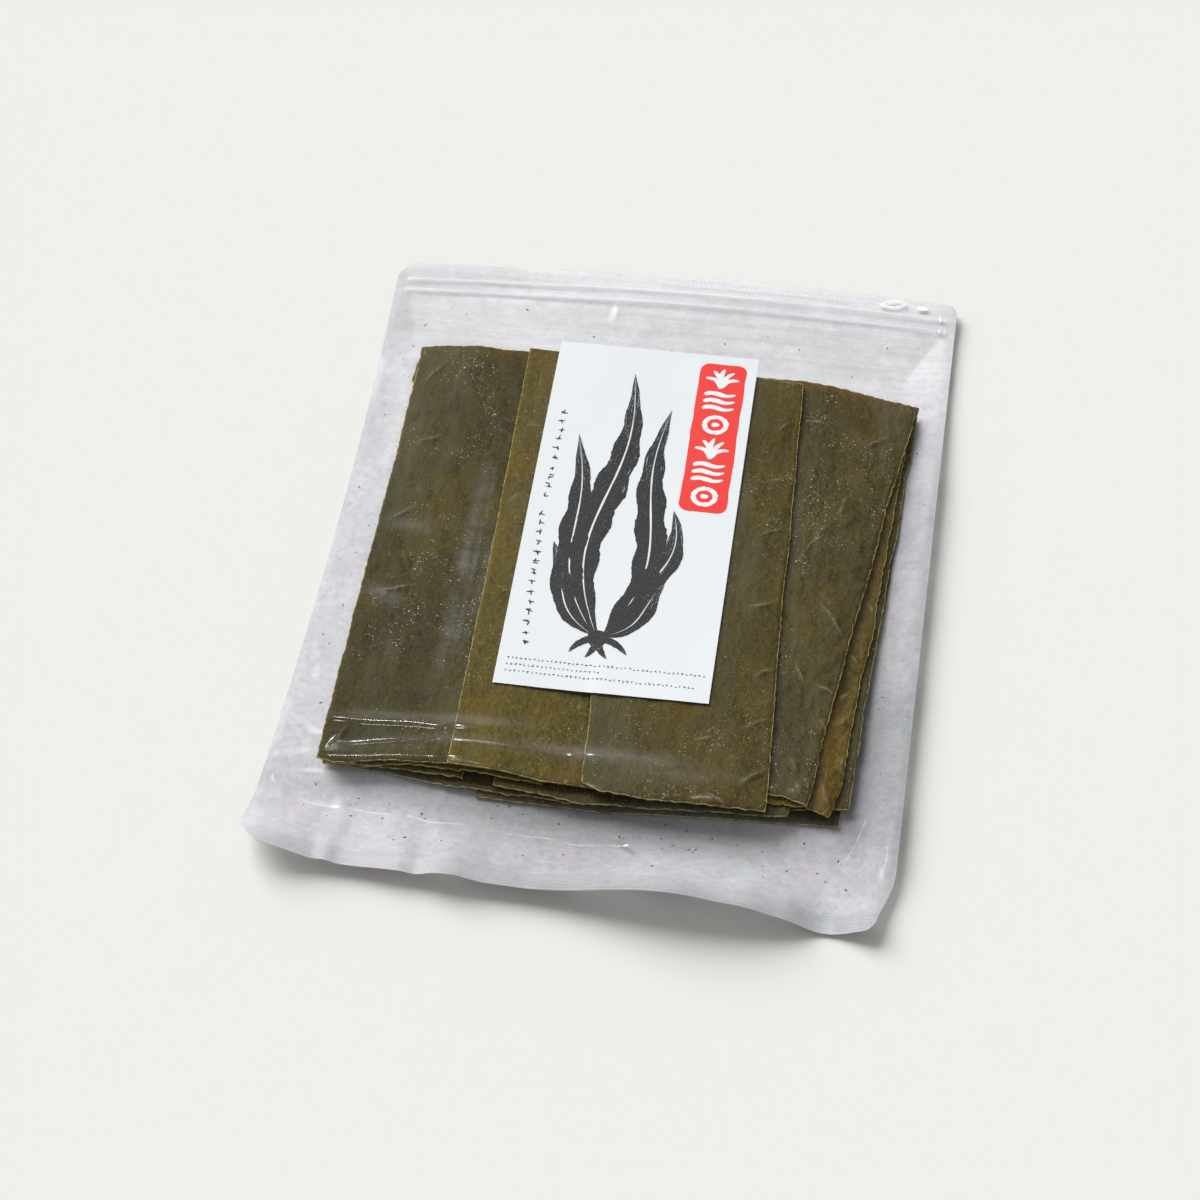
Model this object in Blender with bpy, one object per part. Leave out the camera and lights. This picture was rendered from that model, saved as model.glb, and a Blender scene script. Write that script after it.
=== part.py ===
"""A clear zip pouch of dried kelp sheets lying on its back, with a paper label on its front.

Frame: metres, +Z up, origin under the middle of the pouch, +Y towards the zip, +X to the right.
The pouch is one closed body: thin flat borders round a low plateau that the stacked sheets raise.
"""

import bpy
import math
import numpy as np

# Pouch, seen from above
POUCH_WIDTH = 0.263
POUCH_LENGTH = 0.357
FILM_PAIR = 0.0009  # both films and the air left between them at a border
CORNER_RADII = {"back_left": 0.011, "back_right": 0.006, "front_left": 0.015, "front_right": 0.010}
BACK_EDGE_SLANT = 0.0030  # the zip end runs this much further back at its right corner
BACK_EDGE_BOW = 0.0045
FRONT_EDGE_SLANT = 0.0018
FRONT_EDGE_BOW = 0.0022
WAIST = 0.0045  # how far the left side draws in at mid length
TAPER = 0.0022  # how far the left side draws in at the zip end

# The stack of sheets inside
STACK_LEFT = -0.108
STACK_RIGHT_BACK = 0.1205
STACK_RIGHT_FRONT = 0.1075
STACK_BACK = 0.112
STACK_FRONT = -0.131
STACK_HEIGHT = 0.0112

# How far the front film takes to come down to the border
DRAPE_SIDE = 0.021
DRAPE_BACK = 0.046
DRAPE_FRONT = 0.040

# How high the free edges stand off the table
HEM_START = -0.136
HEM_RISE = 0.0072
HEM_WAVES = (  # centre, half width, height along X
    (-0.128, 0.032, 0.0070),
    (-0.087, 0.024, -0.0016),
    (-0.044, 0.016, 0.0026),
    (0.044, 0.060, 0.0098),
    (0.075, 0.014, 0.0012),
    (0.107, 0.020, -0.0058),
)
BACK_RISE = 0.0042
BACK_START = 0.121
RIGHT_RISE = 0.0034
RIGHT_START = 0.108
LEFT_RISE = 0.0012

# Zip ribs, measured down from the back edge
ZIP_RIBS = (0.0115, 0.0185)
RIB_WIDTH = 0.0022
RIB_HEIGHT = 0.0008

# Label
LABEL_WIDTH = 0.090
LABEL_LENGTH = 0.201
LABEL_CENTRE = (0.0015, 0.0195)
LABEL_TURN = math.radians(0.7)
LABEL_THICKNESS = 0.0005
LABEL_GAP = 0.0003

# Grid of the pouch: stretches of one side as (end, steps)
COLUMNS = (-1.0, (-0.82, 8), (-0.66, 5), (0.60, 16), (0.80, 6), (1.0, 9))
ROWS = (-1.0, (-0.93, 4), (-0.70, 11), (0.62, 18), (0.86, 8), (0.945, 8), (1.0, 3))


def smooth(t):
    """Rises from 0 to 1 with flat ends."""
    t = np.clip(t, 0.0, 1.0)
    return t * t * (3.0 - 2.0 * t)


def bump(t):
    """A raised cosine: 1 at t = 0, and 0 beyond t = -1 and t = 1."""
    return 0.5 + 0.5 * np.cos(math.pi * np.clip(t, -1.0, 1.0))


def stretches(plan):
    """Grid positions from a start and a list of (end, steps)."""
    places = [plan[0]]
    for end, steps in plan[1:]:
        places.extend(np.linspace(places[-1], end, steps + 1)[1:])
    return np.array(places)


def round_corners(x, y):
    """Draws a rectangle's corners in to arcs, keeping the grid lines inside them."""
    half_x = POUCH_WIDTH / 2
    half_y = POUCH_LENGTH / 2
    radius = np.where(
        y > 0,
        np.where(x < 0, CORNER_RADII["back_left"], CORNER_RADII["back_right"]),
        np.where(x < 0, CORNER_RADII["front_left"], CORNER_RADII["front_right"]),
    )
    s = np.clip((np.abs(x) - half_x + radius) / radius, 0.0, 1.0)
    t = np.clip((np.abs(y) - half_y + radius) / radius, 0.0, 1.0)
    inward_x = radius * s * (1.0 - np.sqrt(1.0 - t * t / 2))
    inward_y = radius * t * (1.0 - np.sqrt(1.0 - s * s / 2))
    return x - np.sign(x) * inward_x, y - np.sign(y) * inward_y


def outline(x, y):
    """Gives the flat rectangle the pouch's own slants, bows and drawn-in sides."""
    u = x / (POUCH_WIDTH / 2)
    v = y / (POUCH_LENGTH / 2)
    back = BACK_EDGE_SLANT * u - BACK_EDGE_BOW * u * u
    front = -FRONT_EDGE_SLANT * u + FRONT_EDGE_BOW * u * u
    x = x - (WAIST * (1.0 - v * v) + TAPER * (1.0 + v) / 2) * u * (u < 0)
    y = y + np.where(v > 0, back * v * v, front * v * v)
    return x, y


def stack_right(y):
    """The right side of the stack, which slants in towards the front."""
    share = (y - STACK_FRONT) / (STACK_BACK - STACK_FRONT)
    return STACK_RIGHT_FRONT + (STACK_RIGHT_BACK - STACK_RIGHT_FRONT) * share


def fullness(x, y):
    """1 over the stack, falling to 0 where the front film has reached the border."""
    side = np.maximum(STACK_LEFT - x, x - stack_right(y))
    side = np.clip(side / DRAPE_SIDE, 0.0, None)
    back = np.clip((y - STACK_BACK) / DRAPE_BACK, 0.0, None)
    front = np.clip((STACK_FRONT - y) / DRAPE_FRONT, 0.0, None)
    away = np.sqrt(side**2 + back**2 + front**2)
    return bump(np.minimum(away, 1.0))


def hem_height(x):
    """Height of the wavy front edge above the table."""
    height = np.full_like(x, HEM_RISE)
    for centre, half_width, rise in HEM_WAVES:
        height = height + rise * bump((x - centre) / half_width)
    return height


def underside(x, y):
    """Height of the back film: flat on the table under the stack, lifted at the free edges."""
    front = hem_height(x) * smooth((HEM_START - y) / (POUCH_LENGTH / 2 + HEM_START)) ** 1.2
    lean = 0.25 + 0.75 * smooth((x + 0.13) / 0.20)
    back = BACK_RISE * lean * smooth((y - BACK_START) / 0.052)
    right = RIGHT_RISE * smooth((x - RIGHT_START) / 0.022)
    left = LEFT_RISE * smooth((-0.112 - x) / 0.018)
    return front + np.maximum(back, np.maximum(right, left)) * (1.0 - smooth((HEM_START - y) / 0.03))


def rib_relief(y, back_edge):
    """The zip's two ribs, which follow the back edge."""
    relief = np.zeros_like(y)
    for depth in ZIP_RIBS:
        relief = relief + RIB_HEIGHT * bump((back_edge - y - depth) / RIB_WIDTH)
    return relief


def back_edge_at(x):
    """Y of the pouch's back edge at a given X."""
    u = x / (POUCH_WIDTH / 2)
    return POUCH_LENGTH / 2 + BACK_EDGE_SLANT * u - BACK_EDGE_BOW * u * u


def front_film(x, y):
    """Height of the front film above the table."""
    return underside(x, y) + FILM_PAIR + STACK_HEIGHT * fullness(x, y)


def slab(name, x, y, low, high):
    """A closed body between two height grids that share their plan positions."""
    rows, columns = x.shape
    top = np.stack([x, y, high], axis=-1).reshape(-1, 3)
    bottom = np.stack([x, y, low], axis=-1).reshape(-1, 3)
    number = np.arange(rows * columns).reshape(rows, columns)
    a, b = number[:-1, :-1].ravel(), number[:-1, 1:].ravel()
    c, d = number[1:, 1:].ravel(), number[1:, :-1].ravel()
    below = rows * columns
    faces = [np.stack([a, b, c, d], axis=1), np.stack([d, c, b, a], axis=1) + below]
    rim = np.concatenate([number[0, :-1], number[:-1, -1], number[-1, :0:-1], number[:0:-1, 0]])
    after = np.roll(rim, -1)
    faces.append(np.stack([after, rim, rim + below, after + below], axis=1))
    mesh = bpy.data.meshes.new(name)
    mesh.from_pydata(np.concatenate([top, bottom]).tolist(), [], np.concatenate(faces).tolist())
    mesh.validate()
    mesh.shade_smooth()
    mesh.set_sharp_from_angle(angle=math.radians(40))
    piece = bpy.data.objects.new(name, mesh)
    bpy.context.scene.collection.objects.link(piece)
    return piece


def give_material(piece, name, colour, roughness, metallic=0.0):
    """One Principled BSDF material for one piece."""
    material = bpy.data.materials.new(name)
    material.use_nodes = True
    shader = material.node_tree.nodes["Principled BSDF"]
    shader.inputs["Base Color"].default_value = (*colour, 1.0)
    shader.inputs["Roughness"].default_value = roughness
    shader.inputs["Metallic"].default_value = metallic
    piece.data.materials.append(material)


def make_pouch():
    """The filled pouch as one solid, its plateau raised by the stack inside."""
    u, v = np.meshgrid(stretches(COLUMNS), stretches(ROWS))
    x, y = round_corners(u * POUCH_WIDTH / 2, v * POUCH_LENGTH / 2)
    x, y = outline(x, y)
    low = underside(x, y)
    high = front_film(x, y) + rib_relief(y, back_edge_at(x)) * (np.abs(u) < 0.97)
    pouch = slab("pouch", x, y, low, high)
    give_material(pouch, "clear film over dried kelp", (0.10, 0.085, 0.045), 0.25)
    return pouch


def make_label():
    """The paper label, lying on the front film just clear of it."""
    along, across = 22, 8
    s, t = np.meshgrid(
        np.linspace(-LABEL_WIDTH / 2, LABEL_WIDTH / 2, across + 1),
        np.linspace(-LABEL_LENGTH / 2, LABEL_LENGTH / 2, along + 1),
    )
    cosine, sine = math.cos(LABEL_TURN), math.sin(LABEL_TURN)
    x = LABEL_CENTRE[0] + s * cosine - t * sine
    y = LABEL_CENTRE[1] + s * sine + t * cosine
    low = front_film(x, y) + LABEL_GAP
    label = slab("label", x, y, low, low + LABEL_THICKNESS)
    give_material(label, "white coated paper", (0.86, 0.89, 0.91), 0.45)
    return label


def main():
    """Clears the scene and makes both pieces."""
    for old in list(bpy.data.objects):
        bpy.data.objects.remove(old)
    make_pouch()
    make_label()


main()
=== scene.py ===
# %% [markdown]
# # A clear zip pouch of dried kelp sheets
#
# Dried kelp is sold as flat leathery sheets, cut to one length and slid as a loose stack into a
# clear pouch with a press-to-close zip. This lesson builds such a pack from the inside out:
# the sheets, the film that drapes over them, the zip, the printed label and a few crumbs.
#
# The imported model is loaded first. It fixes the size and place of everything, and two of its
# solids, the filled pouch and the label, are replaced by finer pieces of the same size.

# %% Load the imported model
import math

import bpy
import numpy as np
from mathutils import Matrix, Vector


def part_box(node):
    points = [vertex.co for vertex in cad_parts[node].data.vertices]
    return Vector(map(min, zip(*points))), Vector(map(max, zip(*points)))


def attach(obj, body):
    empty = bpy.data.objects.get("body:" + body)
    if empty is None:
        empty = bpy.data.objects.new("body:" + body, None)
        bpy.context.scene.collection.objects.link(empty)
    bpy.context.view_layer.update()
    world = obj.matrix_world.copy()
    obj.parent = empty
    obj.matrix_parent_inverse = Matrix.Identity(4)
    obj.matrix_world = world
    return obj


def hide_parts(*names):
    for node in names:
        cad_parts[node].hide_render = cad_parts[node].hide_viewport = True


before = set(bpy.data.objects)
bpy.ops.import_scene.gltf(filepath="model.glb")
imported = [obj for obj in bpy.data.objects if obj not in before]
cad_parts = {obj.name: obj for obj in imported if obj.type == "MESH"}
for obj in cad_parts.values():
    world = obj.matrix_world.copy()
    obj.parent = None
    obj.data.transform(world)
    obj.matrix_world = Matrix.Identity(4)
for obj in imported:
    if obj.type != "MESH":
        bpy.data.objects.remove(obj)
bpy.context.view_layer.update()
pouch_low, pouch_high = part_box("pouch")
label_low, label_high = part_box("label")
print("pouch box in mm", [round(1000 * (b - a), 1) for a, b in zip(pouch_low, pouch_high)])
print("label box in mm", [round(1000 * (b - a), 1) for a, b in zip(label_low, label_high)])

# %% [markdown]
# ## Small shape tools
#
# Every piece here is a grid of points worked out by numpy, so three tools are used all the time:
# `smooth` to blend from one height to another, `bump` for a rounded hill, and `waves`, a sum of
# a few sine waves in mixed directions, for the gentle unevenness of natural things. A sine sum is
# chosen over random numbers for each point because it stays smooth at any grid spacing.

# %% Shape tools


def smooth(t):
    """Rises from 0 to 1 with flat ends: 3 t squared minus 2 t cubed."""
    t = np.clip(t, 0.0, 1.0)
    return t * t * (3.0 - 2.0 * t)


def bump(t):
    """A raised cosine: 1 at t = 0, and 0 beyond t = -1 and t = 1."""
    return 0.5 + 0.5 * np.cos(math.pi * np.clip(t, -1.0, 1.0))


def waves(x, y, size, seed, count=7):
    """Between about -1 and 1: the mean of sines of wavelength near size, in seeded directions."""
    rng = np.random.default_rng(seed)
    turn = rng.uniform(0, math.tau, (3, count))
    length = size * rng.uniform(0.65, 1.6, count)
    total = np.zeros(np.broadcast(x, y).shape)
    for k in range(count):
        along = x * math.cos(turn[0, k]) + y * math.sin(turn[0, k])
        total = total + np.sin(math.tau * along / length[k] + turn[1, k])
    return total * 1.6 / count


def even_steps(start, end, step):
    """Evenly spaced places from start to end, about one step apart."""
    return np.linspace(start, end, max(2, int(round((end - start) / step)) + 1))


# %% [markdown]
# ## From a grid to a mesh
#
# A thin sheet is a closed slab: one grid of points for its top, one for its underside, and a
# strip of faces round the rim that joins them. `slab_faces` numbers the faces once for all,
# with the points going round so that every face looks outwards. `put_mesh` hands the arrays to
# Blender in one go and can carry values for the material, such as how near a point is to an edge.

# %% Mesh tools
SHARP_FROM = math.radians(50)  # an edge that turns by more than this is drawn sharp


def slab_faces(rows, columns):
    """Quads of a closed slab: the top grid, the underside turned over, and the rim strip."""
    number = np.arange(rows * columns).reshape(rows, columns)
    a, b = number[:-1, :-1].ravel(), number[:-1, 1:].ravel()
    c, d = number[1:, 1:].ravel(), number[1:, :-1].ravel()
    below = rows * columns
    rim = np.concatenate([number[0, :-1], number[:-1, -1], number[-1, :0:-1], number[:0:-1, 0]])
    after = np.roll(rim, -1)
    return np.concatenate([
        np.stack([a, b, c, d], axis=1),
        np.stack([d, c, b, a], axis=1) + below,
        np.stack([after, rim, rim + below, after + below], axis=1),
    ])


def slab(top, bottom, **values):
    """One closed slab as points, faces and per-point values, which count for both of its sides."""
    rows, columns = top.shape[:2]
    points = np.concatenate([top.reshape(-1, 3), bottom.reshape(-1, 3)])
    doubled = {name: np.tile(np.asarray(v, float).ravel(), 2) for name, v in values.items()}
    return points, slab_faces(rows, columns), doubled


def joined(parts):
    """Several (points, faces, values) as one, with the face numbers moved on."""
    starts = np.cumsum([0] + [len(p) for p, _, _ in parts[:-1]])
    points = np.concatenate([p for p, _, _ in parts])
    faces = np.concatenate([f + s for (_, f, _), s in zip(parts, starts)])
    names = parts[0][2].keys()
    values = {n: np.concatenate([v[n] for _, _, v in parts]) for n in names}
    return points, faces, values


def put_mesh(name, shape, materials, face_slots=None):
    """Makes the object, at the origin, from a shape: its points, faces and per-point values."""
    points, faces, values = shape
    mesh = bpy.data.meshes.new(name)
    mesh.vertices.add(len(points))
    mesh.vertices.foreach_set("co", np.ascontiguousarray(points, np.float32).ravel())
    corners = faces.shape[1]
    mesh.loops.add(faces.size)
    mesh.loops.foreach_set("vertex_index", faces.ravel().astype(np.int32))
    mesh.polygons.add(len(faces))
    mesh.polygons.foreach_set("loop_start", np.arange(0, faces.size, corners, dtype=np.int32))
    if face_slots is not None:
        mesh.polygons.foreach_set("material_index", face_slots.astype(np.int32))
    mesh.update(calc_edges=True)
    mesh.validate()
    for key, value in values.items():
        attribute = mesh.attributes.new(key, "FLOAT", "POINT")
        attribute.data.foreach_set("value", value.astype(np.float32))
    mesh.shade_smooth()
    mesh.set_sharp_from_angle(angle=SHARP_FROM)
    for material in materials:
        mesh.materials.append(material)
    piece = bpy.data.objects.new(name, mesh)
    bpy.context.scene.collection.objects.link(piece)
    print(f"{name}: {len(points)} points, {len(faces)} faces")
    return piece


# %% [markdown]
# ## Height maps
#
# A stack of sheets is built the way it is packed: one sheet is laid on what is already there.
# A height map, one number for each square millimetre, remembers the top of the stack. Dried kelp
# is stiff, so a sheet doesn't follow every step below it. `spread` takes the highest point within
# reach, `soften` blurs it, and the two together give a surface that bridges the steps.
# `tent` is for film pulled tight: it is the envelope of cones standing on every point, so the
# film runs off the stack's highest edges in straight slopes.

# %% Height map tools
CELL = 0.001
MAP_X = np.arange(pouch_low.x - 0.003, pouch_high.x + 0.004, CELL)
MAP_Y = np.arange(pouch_low.y - 0.003, pouch_high.y + 0.004, CELL)
GRID_X, GRID_Y = np.meshgrid(MAP_X, MAP_Y)


def shifted(height, rows, columns):
    """The map moved by whole cells, its border values repeated."""
    j = np.clip(np.arange(height.shape[0]) - rows, 0, height.shape[0] - 1)
    i = np.clip(np.arange(height.shape[1]) - columns, 0, height.shape[1] - 1)
    return height[np.ix_(j, i)]


def spread(height, reach):
    """The highest value within reach, along X and then along Y."""
    steps = range(-int(reach / CELL), int(reach / CELL) + 1)
    height = np.max([shifted(height, 0, k) for k in steps], axis=0)
    return np.max([shifted(height, k, 0) for k in steps], axis=0)


def soften(height, radius):
    """A Gaussian blur, along X and then along Y."""
    steps = np.arange(-int(2.5 * radius / CELL), int(2.5 * radius / CELL) + 1)
    weights = np.exp(-0.5 * (steps * CELL / radius) ** 2)
    weights /= weights.sum()
    height = sum(w * shifted(height, 0, k) for w, k in zip(weights, steps))
    return sum(w * shifted(height, k, 0) for w, k in zip(weights, steps))


def tent(height, slope, reach):
    """The envelope of cones of one slope: each pass carries heights one cell outwards."""
    near = [(1, 0, 1.0), (-1, 0, 1.0), (0, 1, 1.0), (0, -1, 1.0)]
    near += [(r, c, math.sqrt(2)) for r in (1, -1) for c in (1, -1)]
    near += [(r, c, math.sqrt(5)) for r in (1, -1) for c in (2, -2)]
    near += [(r, c, math.sqrt(5)) for r in (2, -2) for c in (1, -1)]
    for _ in range(int(reach / CELL / 1.5)):
        moved = [shifted(height, r, c) - slope * CELL * d for r, c, d in near]
        height = np.maximum(height, np.max(moved, axis=0))
    return height


def read_map(height, x, y):
    """Heights between the cells, by weighing the four nearest ones."""
    across = np.clip((x - MAP_X[0]) / CELL, 0, len(MAP_X) - 1.001)
    up = np.clip((y - MAP_Y[0]) / CELL, 0, len(MAP_Y) - 1.001)
    i, j = across.astype(int), up.astype(int)
    s, t = across - i, up - j
    lower = height[j, i] * (1 - s) + height[j, i + 1] * s
    upper = height[j + 1, i] * (1 - s) + height[j + 1, i + 1] * s
    return lower * (1 - t) + upper * t


# %% [markdown]
# ## Camera
#
# The pack is looked at from the front, from about fifty degrees up, with a long lens that keeps
# its sides almost parallel. The lens's field of view and the distance were chosen together, so
# that the near end looks only a little larger than the far end.

# %% Camera
EYE = Vector((0.12412, -0.89722, 1.04332))
LOOK_AT = Vector((-0.00641, -0.01996, 0.0))
SENSOR = 36.0
LENS = 96.0

camera_data = bpy.data.cameras.new("camera")
camera_data.sensor_width = SENSOR
camera_data.lens = LENS
camera_data.clip_start = 0.01
camera = bpy.data.objects.new("camera", camera_data)
camera.location = EYE
camera.rotation_euler = (LOOK_AT - EYE).to_track_quat("-Z", "Y").to_euler()
bpy.context.scene.collection.objects.link(camera)
bpy.context.scene.camera = camera
print("camera distance", round((LOOK_AT - EYE).length, 3), "m")

# %% [markdown]
# ## Light and floor
#
# Two sun lamps share the work. The key comes low from behind and left, with a wide angle that
# makes its shadows soft, and lets the stack's shadow fall forwards inside the pouch. It lights
# only matt finishes. Clear film is seen by what it mirrors, so the glint, a narrow high sun,
# lights only shiny finishes and draws thin bright lines on the film's creases. Sun lamps are used
# because they light the whole floor evenly, which an area lamp can't. The sky fills the shadows,
# and the floor is one plain pale sheet.

# %% Light and floor
KEY_FROM = (-0.80, 0.95, 0.92)  # parts to the right, away and up, as seen from the camera
KEY_STRENGTH = 3.92
KEY_ANGLE = math.radians(46)
GLINT_FROM = (-0.145, 0.445, 0.884)
GLINT_STRENGTH = 2.4
GLINT_ANGLE = math.radians(8)
SKY_COLOUR = (1.0, 0.995, 0.985)
SKY_STRENGTH = 0.368
FLOOR_COLOUR = (0.790, 0.782, 0.754)
FLOOR_HALF = 6.0

scene = bpy.context.scene
scene.view_settings.view_transform = "Standard"

sky = bpy.data.worlds.new("sky")
sky.use_nodes = True
sky_inputs = sky.node_tree.nodes["Background"].inputs
sky_inputs["Color"].default_value = (*SKY_COLOUR, 1.0)
sky_inputs["Strength"].default_value = SKY_STRENGTH
scene.world = sky

forward = Vector((LOOK_AT.x - EYE.x, LOOK_AT.y - EYE.y, 0.0)).normalized()
right = Vector((forward.y, -forward.x, 0.0))


def add_sun(name, came_from, strength, angle, matt, shiny):
    """A sun lamp from a direction seen from the camera, lighting matt or shiny finishes or both."""
    data = bpy.data.lights.new(name, "SUN")
    data.energy = strength
    data.angle = angle
    lamp = bpy.data.objects.new(name, data)
    direction = right * came_from[0] + forward * came_from[1] + Vector((0.0, 0.0, came_from[2]))
    lamp.rotation_euler = direction.to_track_quat("Z", "Y").to_euler()
    lamp.visible_diffuse = matt
    lamp.visible_glossy = shiny
    scene.collection.objects.link(lamp)


add_sun("key", KEY_FROM, KEY_STRENGTH, KEY_ANGLE, matt=True, shiny=False)
add_sun("glint", GLINT_FROM, GLINT_STRENGTH, GLINT_ANGLE, matt=False, shiny=True)

floor_mesh = bpy.data.meshes.new("floor")
floor_corners = [(FLOOR_HALF * u, FLOOR_HALF * v, 0) for u, v in ((-1, -1), (1, -1), (1, 1), (-1, 1))]
floor_mesh.from_pydata(floor_corners, [], [(0, 1, 2, 3)])
floor = bpy.data.objects.new("floor", floor_mesh)
scene.collection.objects.link(floor)

# %% [markdown]
# ## Material tools
#
# A material is a short chain of nodes. `Nodes` below keeps that chain readable: each call makes
# one node, sets its plain values and links what is passed in. All patterns read Object
# coordinates, which are real metres here, so a pattern's scale can be thought of in millimetres.

# %% Material tools


class Nodes:
    """Makes and links the nodes of one material."""

    def __init__(self, name):
        self.material = bpy.data.materials.new(name)
        self.material.use_nodes = True
        self.tree = self.material.node_tree
        self.tree.nodes.clear()

    def make(self, kind, inputs=None, **settings):
        """One node. An input's value is a number, a colour or another node's output."""
        node = self.tree.nodes.new(kind)
        for key, value in settings.items():
            setattr(node, key, value)
        for key, value in (inputs or {}).items():
            socket = node.inputs[key]
            if isinstance(value, bpy.types.NodeSocket):
                self.tree.links.new(value, socket)
            elif isinstance(value, tuple) and len(value) == 3 and socket.type == "RGBA":
                socket.default_value = (*value, 1.0)
            else:
                socket.default_value = value
        return node

    def place(self, stretch=(1, 1, 1), offset=(0, 0, 0), turn=0.0):
        """Object coordinates, stretched, turned about Z and moved."""
        source = self.make("ShaderNodeTexCoord").outputs["Object"]
        mapping = self.make("ShaderNodeMapping", {
            "Vector": source, "Location": offset, "Rotation": (0, 0, turn), "Scale": stretch})
        return mapping.outputs["Vector"]

    def noise(self, scale, detail=3.0, rough=0.5, **where):
        """Cloudy noise between 0 and 1, scale in cells for each metre."""
        inputs = {"Vector": self.place(**where), "Scale": scale, "Detail": detail, "Roughness": rough}
        return self.make("ShaderNodeTexNoise", inputs).outputs["Fac"]

    def band(self, value, low, high, to_low=0.0, to_high=1.0):
        """Maps low..high to to_low..to_high, clamped, with a smooth start and end."""
        inputs = {"Value": value, "From Min": low, "From Max": high, "To Min": to_low, "To Max": to_high}
        return self.make("ShaderNodeMapRange", inputs, interpolation_type="SMOOTHSTEP").outputs["Result"]

    def math(self, operation, a, b=0.0):
        """One arithmetic step."""
        return self.make("ShaderNodeMath", {0: a, 1: b}, operation=operation).outputs[0]

    def times(self, *factors):
        """The product of two or more values."""
        product = factors[0]
        for factor in factors[1:]:
            product = self.math("MULTIPLY", product, factor)
        return product

    def mix(self, share, a, b, kind="MIX"):
        """Colour a turned into colour b by share."""
        node = self.make("ShaderNodeMix", {}, data_type="RGBA", blend_type=kind)
        for key, value in ((0, share), (6, a), (7, b)):
            if isinstance(value, bpy.types.NodeSocket):
                self.tree.links.new(value, node.inputs[key])
            else:
                node.inputs[key].default_value = value if key == 0 else (*value, 1.0)
        return node.outputs[2]

    def tint(self, colour, mask, strength, towards):
        """The colour moved towards another by mask times strength."""
        return self.mix(self.times(mask, strength), colour, towards)

    def dots(self, colour, scale, radius, share, strength, offset, tint=(0.47, 0.46, 0.36)):
        """Small specks: a share of the cells of a Voronoi pattern get a dot of the tint."""
        inputs = {"Vector": self.place(offset=offset), "Scale": scale, "Randomness": 1.0}
        cells = self.make("ShaderNodeTexVoronoi", inputs, feature="F1")
        chosen = self.make("ShaderNodeSeparateColor", {"Color": cells.outputs["Color"]})
        picked = self.band(chosen.outputs[0], 1.0 - share, 1.0 - share + 0.08)
        size = self.band(chosen.outputs[1], 0.0, 1.0, 0.75 * radius, 1.25 * radius)
        dot = self.math("SUBTRACT", 1.0, self.math("DIVIDE", cells.outputs["Distance"], size))
        dot = self.times(self.band(dot, 0.0, 0.4), picked)
        return self.tint(colour, dot, strength, tint)

    def attribute(self, name):
        """A value that the mesh carries at its points."""
        return self.make("ShaderNodeAttribute", {}, attribute_name=name).outputs["Fac"]

    def bump(self, height, distance, strength=1.0, normal=None):
        """Turns a height into a small tilt of the surface."""
        inputs = {"Height": height, "Distance": distance, "Strength": strength}
        if normal is not None:
            inputs["Normal"] = normal
        return self.make("ShaderNodeBump", inputs).outputs["Normal"]

    def finish(self, shader):
        """Links the last shader to the output."""
        output = self.make("ShaderNodeOutputMaterial")
        self.tree.links.new(shader, output.inputs["Surface"])
        return self.material


def scaled(colour, k):
    """A colour made brighter or darker: each part times k."""
    return tuple(k * c for c in colour)


def floor_finish():
    """Plain matt floor."""
    n = Nodes("pale floor")
    colour = n.mix(n.noise(2.0, 2.0), FLOOR_COLOUR, scaled(FLOOR_COLOUR, 0.995))
    shader = n.make("ShaderNodeBsdfDiffuse", {"Color": colour, "Roughness": 0.0})
    return n.finish(shader.outputs[0])


floor_mesh.materials.append(floor_finish())

# %% [markdown]
# ## The finish of dried kelp
#
# A dried kelp sheet is leathery: dark olive with browner patches, faint lines along the frond,
# and a dusting of white bloom, the sugar that comes out as it dries. The bloom gathers as fine
# specks in clouds. A thin grey veil over the skin is partly bloom and partly painted sheen, in place
# of the film's soft reflection on the kelp. Where a sheet was cut or has cracked, the pale inside
# shows as a yellow-green line. The pale lines of the folds are partly scuffed skin and partly
# painted highlight along the fold. The mesh carries values for that: `edge` rises to 1 at the rim,
# `crease` is how strong the nearest fold is, and `aside` how many millimetres away its middle line
# lies.
# One function makes all the sheets' materials, with its tone and its share of bloom and painted
# sheen as inputs, so that neighbouring sheets differ a little, as real ones do.

# %% Kelp finish


BROWNED = (0.165, 0.073, 0.012)
# The veil's grey is partly white bloom and partly painted sheen, in place of the film's soft reflection on
# the kelp.
BLOOM_SHEEN_GREY = (0.102, 0.092, 0.052)
POWDER = (0.27, 0.26, 0.18)
# The folds' pale colour is partly scuffed skin and partly painted highlight along the fold.
FOLD_PALE_AND_HIGHLIGHT = (0.35, 0.34, 0.25)
HAIRLINE = (0.34, 0.34, 0.26)
CUT_EDGE = (0.46, 0.41, 0.155)
KELP_GLOSS = 0.07


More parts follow.
